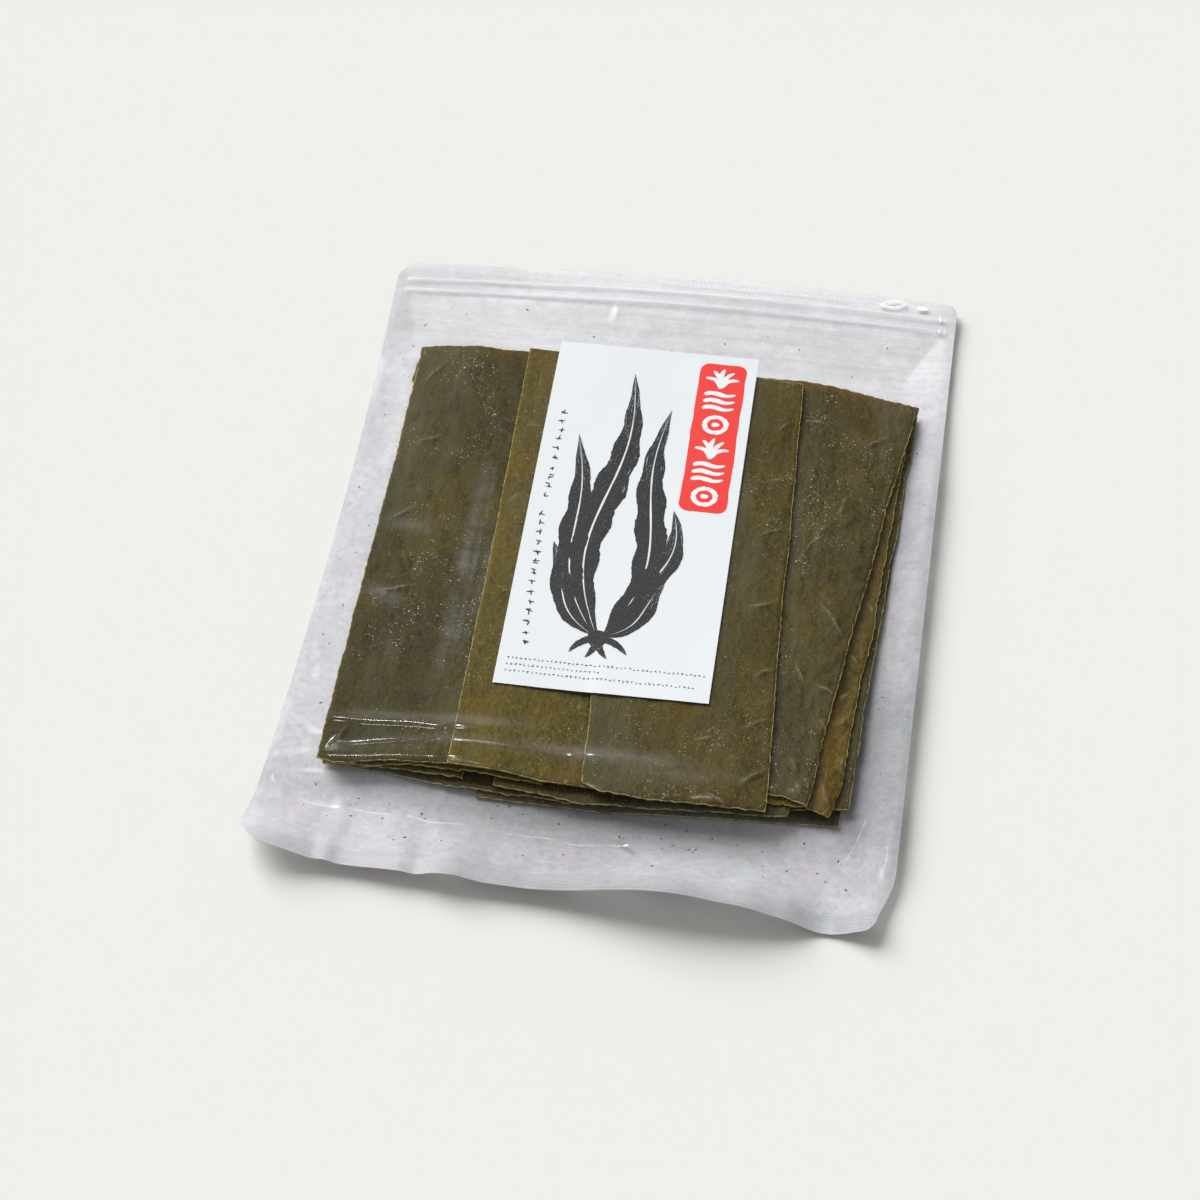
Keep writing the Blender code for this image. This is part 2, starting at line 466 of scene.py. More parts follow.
def kelp_finish(name, deep, warm, bloom_and_sheen, offset):
    """Olive skin with streaks, white sugar dust, painted sheen, pale cut edges, and pale creases with
    painted highlight.
    """
    n = Nodes(name)
    shift = (offset, 0.37 * offset, 0.0)
    patches = n.band(n.noise(19.0, 4.0, 0.55, stretch=(1.0, 0.42, 1.0), offset=shift), 0.42, 0.58)
    colour = n.mix(patches, deep, warm)
    shade = n.band(n.noise(36.0, 5.0, 0.62, stretch=(1.0, 0.6, 1.0), offset=(offset, 3.1, 0)), 0.40, 0.60)
    colour = n.tint(colour, shade, 0.62, scaled(deep, 0.55))
    rust = n.band(n.noise(31.0, 4.0, 0.6, offset=(2.3 * offset, 0, 0)), 0.54, 0.74, 0.0, 0.42)
    colour = n.mix(rust, colour, (1.35 * warm[0], 1.02 * warm[1], 0.50 * warm[2]))
    colour = n.tint(colour, n.attribute("browned"), 0.9, BROWNED)
    streaks = n.band(n.noise(230.0, 3.0, 0.6, stretch=(1.0, 0.05, 1.0), offset=shift), 0.34, 0.68)
    colour = n.tint(colour, streaks, 0.30, scaled(deep, 0.50))
    mottle = n.band(n.noise(620.0, 5.0, 0.80, stretch=(1.0, 0.6, 1.0), offset=shift), 0.40, 0.66)
    colour = n.tint(colour, mottle, 0.42, scaled(warm, 1.9))
    pits = n.band(n.noise(900.0, 4.0, 0.80, offset=(1.0 + offset, 0, 0)), 0.50, 0.68)
    colour = n.tint(colour, pits, 0.62, scaled(deep, 0.36))

    # White bloom and painted sheen: a thin grey veil, partly bloom and partly painted sheen of the film's
    # soft reflection, then powder in clouds, and specks of two sizes.
    sheen = n.noise(12.0, 6.0, 0.66, stretch=(2.2, 0.35, 1.0), offset=(0.7 * offset, offset, 0))
    colour = n.tint(colour, n.band(sheen, 0.47, 0.64), 0.52 * bloom_and_sheen, BLOOM_SHEEN_GREY)
    clouds = n.band(n.noise(34.0, 6.0, 0.74, offset=(0, offset, 0)), 0.46, 0.62, 0.05, 1.0)
    powder = n.band(n.noise(1500.0, 3.0, 0.7, offset=shift), 0.56, 0.70)
    colour = n.tint(colour, n.times(powder, clouds), 0.55 * bloom_and_sheen, POWDER)
    colour = n.dots(colour, 560.0, 0.21, 0.36, n.times(clouds, 1.05 * bloom_and_sheen), shift)
    colour = n.dots(colour, 930.0, 0.27, 0.36, n.times(clouds, 0.80 * bloom_and_sheen), (1.7 * offset, 0.0, 0.0))

    # Pale lines: the folds, partly pale scuffed skin and partly painted highlight, with a soft painted glow
    # beside them, a few fine cracks, and the cut edge.
    broken = n.band(n.noise(330.0, 3.0, 0.7, offset=shift), 0.36, 0.56)
    aside = n.math("ABSOLUTE", n.attribute("aside"))
    line = n.times(n.band(aside, 0.10, 0.50, 1.0, 0.0), n.times(n.attribute("crease"), broken))
    fold_highlight_glow = n.times(n.band(aside, 0.2, 1.4, 0.12, 0.0), n.attribute("crease"))
    colour = n.mix(n.math("MAXIMUM", n.times(line, 0.42), fold_highlight_glow), colour, FOLD_PALE_AND_HIGHLIGHT)
    cloudy = n.noise(46.0, 2.0, 0.5, stretch=(1.0, 0.45, 1.0), offset=shift)
    hair = n.math("ABSOLUTE", n.math("SUBTRACT", cloudy, 0.5))
    rare = n.band(n.noise(70.0, 3.0, 0.6, offset=(0.5, offset, 0)), 0.60, 0.68)
    hair = n.times(n.band(hair, 0.0012, 0.0045, 1.0, 0.0), n.times(rare, broken))
    colour = n.tint(colour, hair, 0.6, HAIRLINE)
    broken_edge = n.band(n.noise(260.0, 3.0, 0.7, offset=shift), 0.36, 0.60, 0.18, 1.0)
    colour = n.tint(colour, n.attribute("edge"), broken_edge, CUT_EDGE)

    leather = n.noise(105.0, 4.0, 0.6, stretch=(1.0, 0.7, 1.0), offset=shift)
    grain = n.math("ADD", n.noise(640.0, 4.0, 0.7, offset=shift), n.times(streaks, 0.5))
    shader = n.make("ShaderNodeBsdfPrincipled", {
        "Base Color": colour,
        "Roughness": n.band(mottle, 0.0, 1.0, 0.46, 0.64),
        "Specular IOR Level": KELP_GLOSS,
        "Normal": n.bump(grain, 0.00012, 0.4, normal=n.bump(leather, 0.0030, 0.60)),
    })
    return n.finish(shader.outputs[0])


# Each tone is a greyer and a warmer shade of the skin, and they run into each other in patches.
GREY_OLIVE = ((0.051, 0.0435, 0.0165), (0.074, 0.0565, 0.0125))
BROWN_OLIVE = ((0.062, 0.0485, 0.0110), (0.083, 0.060, 0.0100))
OLIVE = ((0.092, 0.069, 0.0105), (0.122, 0.089, 0.0120))
BROWN = ((0.092, 0.069, 0.0135), (0.158, 0.095, 0.0150))
# The dark tone is painted shade: a near-black skin for the lowest sheets, which lie in the stack's shade.
PAINTED_SHADE_DARK = ((0.048, 0.040, 0.0150), (0.090, 0.062, 0.0120))

# %% [markdown]
# ## Laying the sheets
#
# Each sheet is described by its four edges: the left and right edge as X at a few places along Y,
# the front and back edge as Y at a few places along X. A ragged edge adds fine waves. The sheet's
# surface is a function of two parameters, across and along, and its grid has extra lines close
# to the rim, so that the pale cut edge is a sharp thin line.
#
# `lay_sheet` reads the map of the stack, rests the sheet on it, and writes the sheet back into
# the map for the next one. A second map, `cover`, is kept for the film: it holds the same tops
# without the shallow dents, which film pulled tight would bridge.

# %% Sheet shapes
SHEET_THICKNESS = 0.0011
FINE, COARSE = 0.00098, 0.0018
RIM_LINES = (0.0, 0.00014, 0.00032, 0.0007, 0.0012, 0.0020)

BARE = 0.0006  # height of the maps where no sheet lies
RIM_FADE = 0.004  # how far from a rim the surface grows uneven
LEAST_SHARE = 1e-3  # keeps the division safe where no sheet is near

stack = np.zeros_like(GRID_X) + BARE
cover = stack.copy()


def rimmed(length, step):
    """Places from 0 to 1 along a side, with extra lines near both ends."""
    near = np.array(RIM_LINES) / length
    middle = np.linspace(near[-1], 1 - near[-1], max(3, int(length / step)))
    return np.concatenate([near[:-1], middle, 1 - near[-2::-1]])


def edge_line(points, at, ragged, seed):
    """An edge through a few points, softened by fine waves of the given height."""
    base = np.interp(at, [p[0] for p in points], [p[1] for p in points])
    fine = waves(at, 0.0 * at, 0.004, seed) + 0.6 * waves(at, 0.0 * at, 0.0016, seed + 1)
    broad = waves(at, 0.0 * at, 0.030, seed + 2)
    return base + ragged * (0.7 * fine + 0.9 * broad)


def crease_shape(x, y, creases):
    """Folds as height, strength and signed distance in mm from the nearest one's middle line."""
    height, strength, nearest = np.zeros_like(x), np.zeros_like(x), np.full_like(x, 9.0)
    for x0, y0, x1, y1, rise in creases:
        length = math.hypot(x1 - x0, y1 - y0)
        ux, uy = (x1 - x0) / length, (y1 - y0) / length
        along = ((x - x0) * ux + (y - y0) * uy) / length
        aside = (x - x0) * uy - (y - y0) * ux
        aside = aside + 0.0010 * waves(along * length, 0 * along, 0.012, int(1e4 * abs(x0 + y0)))
        fade = bump(2.0 * (along - 0.5))
        height = height + 1.9 * rise * fade * np.exp(-((aside / 0.0017) ** 2))
        closer = np.abs(1000 * aside) < np.abs(nearest)
        reach = fade * smooth((0.0030 - np.abs(aside)) / 0.0010)
        strength = np.where(closer, reach, strength)
        nearest = np.where(closer, 1000 * aside, nearest)
    return height, strength, nearest


def lay_sheet(name, material, left, right_side, front, back, seed, ragged=0.0002, curl=0.0004,
              gap=0.0002, creases=(), browned=0.0, crumple=0.0, relief=0.0001, ripple=(1.0, 0.4),
              stiffness=0.006, step=COARSE):
    """Rests one sheet on the stack and makes it.

    Across s and along t, X runs from the left to the right edge and Y from the front to the back
    edge. The underside is the softened stack plus a small gap and a slow wave; the top is one
    thickness higher, thinned at the rim, with creases, crumples and dents added.
    """
    global stack, cover
    middle_y = 0.5 * (front[0][1] + back[0][1])
    span_x = np.interp(middle_y, *zip(*right_side)) - np.interp(middle_y, *zip(*left))
    span_y = back[0][1] - front[0][1]
    s, t = np.meshgrid(rimmed(span_x, step), rimmed(span_y, step))
    y_guess = front[0][1] + span_y * t
    x0 = edge_line(left, y_guess, 0.6 * ragged, seed)
    x1 = edge_line(right_side, y_guess, 0.6 * ragged, seed + 10)
    x = x0 + (x1 - x0) * s
    y0 = edge_line(front, x, ragged, seed + 20)
    y1 = edge_line(back, x, ragged, seed + 30)
    y = y0 + (y1 - y0) * t

    to_side = np.minimum(GRID_X - edge_line(left, GRID_Y, 0, 0),
                         edge_line(right_side, GRID_Y, 0, 0) - GRID_X)
    to_end = np.minimum(GRID_Y - edge_line(front, GRID_X, 0, 0),
                        edge_line(back, GRID_X, 0, 0) - GRID_Y)
    to_rim = np.maximum(np.minimum(to_side, to_end), 0.0)
    inside = to_rim > 0.0
    bridged = spread(np.where(inside, stack, 0.0), 2.0 * stiffness)
    known = (bridged > 0.0).astype(float)
    rest = soften(bridged, stiffness) / np.maximum(soften(known, stiffness), LEAST_SHARE)
    rest = np.where(inside, np.maximum(rest, stack), rest)

    def loose(px, py, rim):
        """Gap, slow wave and curled-up rim of the underside, rim being the way to the nearest edge."""
        lift = curl * (0.5 + 0.5 * waves(px, py, 0.035, seed + 40)) * np.exp(-rim / 0.008)
        return gap + lift * (0.4 + 0.6 * smooth(-py / 0.06)) + 0.0001 * (1 + waves(px, py, 0.05, seed + 50))

    def uneven(px, py, rim):
        """Crumples and shallow dents of the upper side, fading out at the rim."""
        folds_near = 1.0 - np.abs(waves(px, py, 0.016, seed + 80))
        ripples = waves(ripple[0] * px, ripple[1] * py, 0.020, seed + 62)
        dents = relief * (waves(px, py, 0.014, seed + 61) + 0.9 * ripples)
        return (crumple * (folds_near ** 3 - 0.3) + dents) * smooth(rim / RIM_FADE)

    near = np.minimum(np.minimum(s, 1 - s) * span_x, np.minimum(t, 1 - t) * span_y)
    low = read_map(rest, x, y) + loose(x, y, near)
    fold, strength, aside = crease_shape(x, y, creases)
    fold = fold + uneven(x, y, near)
    full = SHEET_THICKNESS * (0.62 + 0.38 * smooth(near / 0.0012))
    skin = 0.00005 * waves(x, 0.12 * y, 0.004, seed + 60)
    high = low + np.maximum(full + fold + skin * smooth(near / 0.003), 0.4 * SHEET_THICKNESS)

    edge = 1.0 - smooth((near - 0.00008) / 0.00030)
    top, bottom = np.stack([x, y, high], -1), np.stack([x, y, low], -1)
    burnt = browned * np.exp(-(1 - t) * span_y / 0.0060) * (0.8 + 0.5 * waves(x, y, 0.011, seed + 70))
    points, faces, values = slab(top, bottom, edge=edge, crease=strength, aside=aside,
                                 browned=np.clip(burnt, 0, 1))
    values["edge"][edge.size:] = 0.0  # the underside shows no cut edge
    piece = put_mesh(name, (points, faces, values), [material])
    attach(piece, "root")

    fold, _, _ = crease_shape(GRID_X, GRID_Y, creases)
    upper = rest + loose(GRID_X, GRID_Y, to_rim) + SHEET_THICKNESS
    stack = np.where(inside, upper + (fold + uneven(GRID_X, GRID_Y, to_rim)), stack)
    bridging = (1.2 * relief + 0.4 * crumple) * smooth(to_rim / RIM_FADE)
    cover = np.where(inside, upper + fold + bridging, cover)


# %% [markdown]
# The bottom of the stack comes first. Its sheets show only as staggered edges at the front and
# down the right side, so their colours run from nearly black, painted shade for the sheets that lie
# in the shade, to warm brown.

# %% Lower sheets
lay_sheet(
    "kelp_lowest", kelp_finish("kelp, shaded", *PAINTED_SHADE_DARK, 0.5, 1.3),
    left=((-0.13, -0.041), (0.12, -0.046)),
    right_side=((-0.128, 0.1066), (-0.006, 0.1152), (0.033, 0.1164), (0.057, 0.1180), (0.1125, 0.1216)),
    front=((-0.05, -0.1325), (0.010, -0.1330), (0.060, -0.1288), (0.110, -0.1262)),
    back=((-0.05, 0.1090), (0.122, 0.1125)), seed=11)
lay_sheet(
    "kelp_left_base", kelp_finish("kelp, left base", *PAINTED_SHADE_DARK, 0.6, 2.1),
    left=((-0.13, -0.1060), (0.12, -0.1050)), right_side=((-0.13, -0.002), (0.12, -0.010)),
    front=((-0.110, -0.1252), (-0.093, -0.1258), (-0.072, -0.1278), (-0.058, -0.1293), (-0.041, -0.1308),
           (-0.002, -0.1314)),
    back=((-0.110, 0.1080), (0.0, 0.1060)), seed=23, ragged=0.0007, curl=0.0012, gap=0.0006)
lay_sheet(
    "kelp_right_base", kelp_finish("kelp, right base", *GREY_OLIVE, 0.8, 3.7),
    left=((-0.13, 0.004), (0.12, -0.004)),
    right_side=((-0.118, 0.1100), (-0.074, 0.1112), (0.016, 0.1154), (0.110, 0.1190)),
    front=((0.0, -0.1300), (0.060, -0.1262), (0.111, -0.1190)),
    back=((0.0, 0.1080), (0.120, 0.1040)), seed=37, ragged=0.0008, curl=0.0010, gap=0.0010)
lay_sheet(
    "kelp_left_brown", kelp_finish("kelp, brown", *BROWN, 0.3, 4.4),
    left=((-0.13, -0.1040), (0.060, -0.1055), (0.087, -0.1072), (0.093, -0.1092), (0.1045, -0.1094),
          (0.1072, -0.1040)),
    right_side=((-0.13, -0.047), (0.12, -0.046)),
    front=((-0.110, -0.1262), (-0.090, -0.1270), (-0.067, -0.1256), (-0.047, -0.1272)),
    back=((-0.110, 0.1076), (-0.02, 0.1050)), seed=41, ragged=0.0009, curl=0.0012, gap=0.0006)
lay_sheet(
    "kelp_under_centre", kelp_finish("kelp, under centre", *PAINTED_SHADE_DARK, 0.9, 5.9),
    left=((-0.13, -0.034), (0.12, -0.030)), right_side=((-0.13, 0.086), (0.12, 0.090)),
    front=((-0.034, -0.1288), (-0.020, -0.1304), (0.004, -0.1334), (0.025, -0.1322), (0.088, -0.1276)),
    back=((-0.034, 0.1080), (0.09, 0.1060)), seed=53, ragged=0.0006, curl=0.0012, gap=0.0006)
lay_sheet(
    "kelp_left_middle", kelp_finish("kelp, left middle", *OLIVE, 0.8, 5.2),
    left=((-0.13, -0.1052), (0.12, -0.1062)), right_side=((-0.13, -0.014), (0.12, -0.018)),
    front=((-0.107, -0.1258), (-0.085, -0.1272), (-0.060, -0.1246), (-0.040, -0.1252), (-0.012, -0.1276)),
    back=((-0.107, 0.1070), (-0.010, 0.1085)), seed=47, ragged=0.0008, curl=0.0011, gap=0.0005)

# %% [markdown]
# Then come the sheets that show from above: two down the right side, the wide one at the left,
# a narrow olive strip and, on top, the broad centre sheet that the label lies on. Their folds are
# listed as short lines with a height, placed where the stack's edges bend them.

# %% Upper sheets
lay_sheet(
    "kelp_right_brown", kelp_finish("kelp, warm brown", *BROWN, 0.55, 6.6),
    left=((-0.13, 0.030), (0.12, 0.022)),
    right_side=((-0.126, 0.1015), (-0.113, 0.1059), (-0.090, 0.1069), (-0.058, 0.1084),
                (-0.031, 0.1109), (0.011, 0.1121), (0.105, 0.1165)),
    front=((0.03, -0.1240), (0.0927, -0.1232), (0.1025, -0.1262), (0.107, -0.1160)),
    back=((0.02, 0.1060), (0.118, 0.1010)), seed=61, ragged=0.0008, curl=0.0009, crumple=0.0007,
    relief=0.0003, step=FINE,
    creases=((0.0964, -0.1070, 0.1020, -0.1240, 0.0006), (0.0995, -0.0830, 0.1065, -0.0715, 0.0005),
             (0.0990, -0.0670, 0.1052, -0.0590, 0.0004), (0.1020, -0.0395, 0.1078, -0.0465, 0.0004),
             (0.1040, -0.0930, 0.1062, -0.1060, 0.0004), (0.1060, -0.0060, 0.1110, -0.0180, 0.0003)))
lay_sheet(
    "kelp_right", kelp_finish("kelp, right", *GREY_OLIVE, 1.25, 7.2),
    left=((-0.13, 0.034), (0.12, 0.030)),
    right_side=((-0.1235, 0.0929), (-0.078, 0.0970), (-0.0445, 0.1003), (-0.013, 0.1040),
                (0.012, 0.1068), (0.051, 0.1108), (0.1055, 0.1178)),
    front=((0.03, -0.1190), (0.0774, -0.1206), (0.0860, -0.1222), (0.0935, -0.1240)),
    back=((0.03, 0.1140), (0.0651, 0.1153), (0.0774, 0.1138), (0.0897, 0.1114), (0.1020, 0.1090),
          (0.1178, 0.1054)),
    seed=71, ragged=0.0008, curl=0.0006, browned=1.0, crumple=0.00034, relief=0.00034, step=FINE,
    creases=((0.0832, -0.1000, 0.0885, -0.1110, 0.0005), (0.0690, 0.0895, 0.0815, 0.0870, 0.0004),
             (0.0762, 0.0070, 0.0868, 0.0325, 0.0003), (0.0862, -0.0140, 0.1015, -0.0390, 0.0005),
             (0.0885, 0.0300, 0.0945, 0.0520, 0.0003), (0.0860, -0.1130, 0.0905, -0.1220, 0.0005),
             (0.0890, -0.0600, 0.0998, -0.0675, 0.0004), (0.0925, -0.0780, 0.0975, -0.0870, 0.0003),
             (0.0960, 0.0760, 0.1080, 0.0850, 0.0004), (0.0800, -0.0480, 0.0850, -0.0650, 0.0003)))
lay_sheet(
    "kelp_left", kelp_finish("kelp, left", *GREY_OLIVE, 1.25, 8.5),
    left=((-0.1275, -0.1073), (0.050, -0.1071), (0.1115, -0.1077)),
    right_side=((-0.13, -0.036), (0.12, -0.040)),
    front=((-0.1073, -0.1276), (-0.0991, -0.1290), (-0.0915, -0.1276), (-0.0754, -0.1250),
           (-0.0554, -0.1237), (-0.036, -0.1240)),
    back=((-0.1077, 0.1112), (-0.0996, 0.1138), (-0.0816, 0.1164), (-0.0722, 0.1152), (-0.04, 0.1157)),
    seed=83, ragged=0.0005, curl=0.0007, browned=0.6, crumple=0.00012, relief=0.00042, ripple=(0.30, 1.0),
    step=FINE,
    creases=((-0.1045, 0.0020, -0.0905, 0.0170, 0.0003), (-0.1020, 0.0500, -0.0860, 0.0600, 0.0003),
             (-0.1060, -0.0380, -0.0820, -0.0300, 0.0004), (-0.1030, -0.1215, -0.0967, -0.1095, 0.0004),
             (-0.1050, 0.0870, -0.0940, 0.1040, 0.0003)))
lay_sheet(
    "kelp_strip", kelp_finish("kelp, olive strip", *OLIVE, 0.6, 9.8),
    left=((-0.1251, -0.0536), (-0.020, -0.0551), (0.1135, -0.0584)),
    right_side=((-0.13, 0.030), (0.12, 0.022)),
    front=((-0.0536, -0.1244), (-0.0313, -0.1252), (-0.0152, -0.1276), (0.030, -0.1268)),
    back=((-0.0584, 0.1146), (0.03, 0.1130)), seed=97, ragged=0.0002, curl=0.0002, relief=0.00018,
    stiffness=0.012, step=FINE,
    creases=((-0.0545, 0.020, -0.046, 0.027, 0.0002), (-0.053, 0.066, -0.045, 0.068, 0.0002)))
lay_sheet(
    "kelp_centre", kelp_finish("kelp, centre", *BROWN_OLIVE, 0.85, 10.4),
    left=((-0.1253, 0.0019), (-0.0840, -0.0008), (0.112, -0.0060)),
    right_side=((-0.1307, 0.0768), (-0.1042, 0.0764), (-0.0792, 0.0748), (-0.0254, 0.0721),
                (0.0201, 0.0706), (0.0727, 0.0684), (0.1092, 0.0669)),
    front=((0.0019, -0.1262), (0.0100, -0.1303), (0.0264, -0.1315), (0.0482, -0.1309), (0.0768, -0.1309)),
    back=((-0.006, 0.1120), (0.0559, 0.1098), (0.0669, 0.1092)), seed=109, ragged=0.0005, curl=0.0004,
    crumple=0.00016, relief=0.00024, stiffness=0.012, step=FINE,
    creases=((0.0550, -0.0262, 0.0712, -0.0205, 0.0004), (0.0630, -0.0630, 0.0745, -0.0566, 0.0005),
             (0.0610, -0.0920, 0.0740, -0.0825, 0.0005), (0.0645, -0.1205, 0.0765, -0.1075, 0.0005),
             (0.0575, 0.0780, 0.0648, 0.0855, 0.0003), (0.0500, -0.1250, 0.0630, -0.1312, 0.0004),
             (0.0560, 0.0150, 0.0700, 0.0240, 0.0003), (0.0420, -0.0990, 0.0530, -0.0960, 0.0002),
             (0.0560, 0.0480, 0.0680, 0.0520, 0.0003)))
print("stack is", round(1000 * float(stack.max()), 1), "mm high")

# %% [markdown]
# ## The film
#
# The pouch is two films welded at the sides and the front hem, with the zip at the back. The back
# film lies on the table. The front film leans on the stack like a tent: it touches the highest
# sheets and runs straight down to the borders. So its height is the larger of two surfaces, the
# tent over the `cover` map, which bridges the sheets' dents, and the border, which lies a little
# above the back film.
# Both films are one closed shell on one grid, which keeps the rim shut without any modelling.
#
# The outline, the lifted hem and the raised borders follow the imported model's formulas. Three
# things are finer here: the front right corner curves in, the hem has two small puckers, and the
# right border stands a little higher over its front two thirds.

# %% Outline and lifted edges
POUCH_WIDTH = 0.263
POUCH_LENGTH = 0.357
CORNER_RADII = {"back_left": 0.011, "back_right": 0.006, "front_left": 0.015, "front_right": 0.006}
BACK_EDGE_SLANT = 0.0030
BACK_EDGE_BOW = 0.0045
FRONT_EDGE_SLANT = 0.0018
FRONT_EDGE_BOW = 0.0022
WAIST = 0.0045
TAPER = 0.0022
CORNER_DRAWN_IN = 0.0060  # how far the side curves in at the front right corner
BACK_RISE = 0.0042
BACK_START = 0.121
RIGHT_RISE = 0.0034
RIGHT_EXTRA = 0.0030  # how much higher the right border stands towards the front
RIGHT_START = 0.108
LEFT_RISE = 0.0012
LEFT_START = -0.112
HEM_START = -0.136
HEM_RISE = 0.0072
HEM_WAVES = (  # centre, half width, height along X
    (-0.128, 0.032, 0.0070), (-0.087, 0.024, -0.0016), (-0.044, 0.016, 0.0026),
    (0.044, 0.060, 0.0098), (0.075, 0.014, 0.0012), (0.107, 0.020, -0.0058),
    (-0.0945, 0.006, 0.0012), (-0.0570, 0.007, -0.0010),
)


def round_corners(x, y):
    """Draws a rectangle's corners in to arcs, keeping the grid lines inside them."""
    radius = np.where(
        y > 0,
        np.where(x < 0, CORNER_RADII["back_left"], CORNER_RADII["back_right"]),
        np.where(x < 0, CORNER_RADII["front_left"], CORNER_RADII["front_right"]))
    s = np.clip((np.abs(x) - POUCH_WIDTH / 2 + radius) / radius, 0.0, 1.0)
    t = np.clip((np.abs(y) - POUCH_LENGTH / 2 + radius) / radius, 0.0, 1.0)
    inward_x = radius * s * (1.0 - np.sqrt(1.0 - t * t / 2))
    inward_y = radius * t * (1.0 - np.sqrt(1.0 - s * s / 2))
    return x - np.sign(x) * inward_x, y - np.sign(y) * inward_y


def outline(x, y):
    """Gives the flat rectangle the pouch's own slants, bows and drawn-in sides."""
    u = x / (POUCH_WIDTH / 2)
    v = y / (POUCH_LENGTH / 2)
    back = BACK_EDGE_SLANT * u - BACK_EDGE_BOW * u * u
    front = -FRONT_EDGE_SLANT * u + FRONT_EDGE_BOW * u * u
    x = x - (WAIST * (1.0 - v * v) + TAPER * (1.0 + v) / 2) * u * (u < 0)
    x = x - CORNER_DRAWN_IN * (u > 0) * u ** 4 * smooth((-0.148 - y) / 0.030)
    return x, y + np.where(v > 0, back * v * v, front * v * v)


def hem_height(x):
    """Height of the wavy front edge: a constant, six soft hills and two small puckers."""
    return HEM_RISE + sum(rise * bump((x - centre) / half) for centre, half, rise in HEM_WAVES)


def back_film(x, y):
    """Height of the back film: on the table under the stack, lifted at the hem, back and sides."""
    front = hem_height(x) * smooth((HEM_START - y) / (POUCH_LENGTH / 2 + HEM_START)) ** 1.2
    lean = 0.25 + 0.75 * smooth((x + 0.13) / 0.20)
    back = BACK_RISE * lean * smooth((y - BACK_START) / 0.052)
    right = RIGHT_RISE + RIGHT_EXTRA * (1.0 - smooth((y - 0.05) / 0.08))
    right = right * smooth((x - RIGHT_START) / 0.022)
    side = np.maximum(right, LEFT_RISE * smooth((LEFT_START - x) / 0.018))
    return front + np.maximum(back, side) * (1.0 - smooth((HEM_START - y) / 0.03))


def back_edge_at(x):
    """Y of the pouch's back edge at a given X."""
    u = x / (POUCH_WIDTH / 2)
    return POUCH_LENGTH / 2 + BACK_EDGE_SLANT * u - BACK_EDGE_BOW * u * u


# %% [markdown]
# The tent needs a little air over the sheets, or their folds would pierce the film. Under the
# label the film is held level, as the stiff paper spans the hollows of the stack. Its creases are
# drawn as short narrow ridges, most of them round the front left corner of the stack, where the
# film is pulled tight.

# %% Height of the front film
AIR = 0.00035
TENT_SLOPE = 0.50
LABEL_WIDTH = 0.090
LABEL_LENGTH = 0.201
LABEL_CENTRE = (0.0015, 0.0195)
LABEL_TURN = math.radians(0.7)
LABEL_LEVEL = 0.0126
LABEL_HOLD = 0.012  # how far round the label the film is still held

FILM_CREASES = (  # start x y, end x y, height, half width
    (-0.1230, -0.1085, -0.0380, -0.1045, 0.00075, 0.0012),
    (-0.1000, -0.1204, -0.0640, -0.1126, 0.00060, 0.0009),
    (-0.1210, -0.1292, -0.0460, -0.1206, 0.00070, 0.0010),
    (-0.1075, -0.1255, -0.0980, -0.1105, 0.00040, 0.0009),
    (-0.0760, -0.1128, 0.0300, -0.1124, 0.00022, 0.0008),
    (-0.1290, -0.0960, -0.1090, -0.1090, 0.00070, 0.0011),
    (-0.1280, -0.1230, -0.1120, -0.1175, 0.00080, 0.0011),
    (-0.1230, -0.0560, -0.1170, -0.0840, 0.00050, 0.0012),
    (-0.1240, 0.1060, -0.1090, 0.1170, 0.00006, 0.0020),
    (-0.0250, 0.1590, -0.0265, 0.1440, 0.00024, 0.0012),
    (0.1170, 0.1560, 0.1185, 0.1400, 0.00012, 0.0012),
    (0.0160, -0.1420, 0.0290, -0.1560, 0.00035, 0.0013),
    (-0.0980, -0.1380, -0.0900, -0.1600, 0.00045, 0.0018),
    (0.0980, -0.1340, 0.1120, -0.1560, 0.00040, 0.0018),
)


def label_axes(x, y):
    """Distances from the label's middle along its width and its length."""
    dx, dy = x - LABEL_CENTRE[0], y - LABEL_CENTRE[1]
    c, s = math.cos(LABEL_TURN), math.sin(LABEL_TURN)
    return dx * c + dy * s, dy * c - dx * s


def ridges(x, y, creases):
    """Narrow hills along short lines, each a bump along its length and a bell across it."""
    total = np.zeros_like(x)
    for x0, y0, x1, y1, height, half in creases:
        length = math.hypot(x1 - x0, y1 - y0)
        ux, uy = (x1 - x0) / length, (y1 - y0) / length
        along = ((x - x0) * ux + (y - y0) * uy) / length
        aside = (x - x0) * uy - (y - y0) * ux
        aside = aside + 0.0007 * waves(along * length, 0 * along, 0.05, int(1e4 * abs(x0 + y1)))
        total = total + height * bump(2.0 * (along - 0.5)) ** 0.6 * np.exp(-((aside / half) ** 2))
    return total


border = back_film(GRID_X, GRID_Y) + BARE
tight = tent(np.where(cover > BARE + 0.0001, spread(cover, 0.002) + AIR, 0.0), TENT_SLOPE, 0.03)
film_map = soften(np.maximum(tight, border), 0.0016)
across, along = label_axes(GRID_X, GRID_Y)
inset = np.minimum(LABEL_WIDTH / 2 - np.abs(across), LABEL_LENGTH / 2 - np.abs(along))
pressed = smooth((inset + LABEL_HOLD) / 0.010)
film_map = soften(film_map + pressed * (np.maximum(LABEL_LEVEL, film_map) - film_map), 0.0015)
print("film is", round(1000 * float(film_map.max()), 1), "mm high at most")


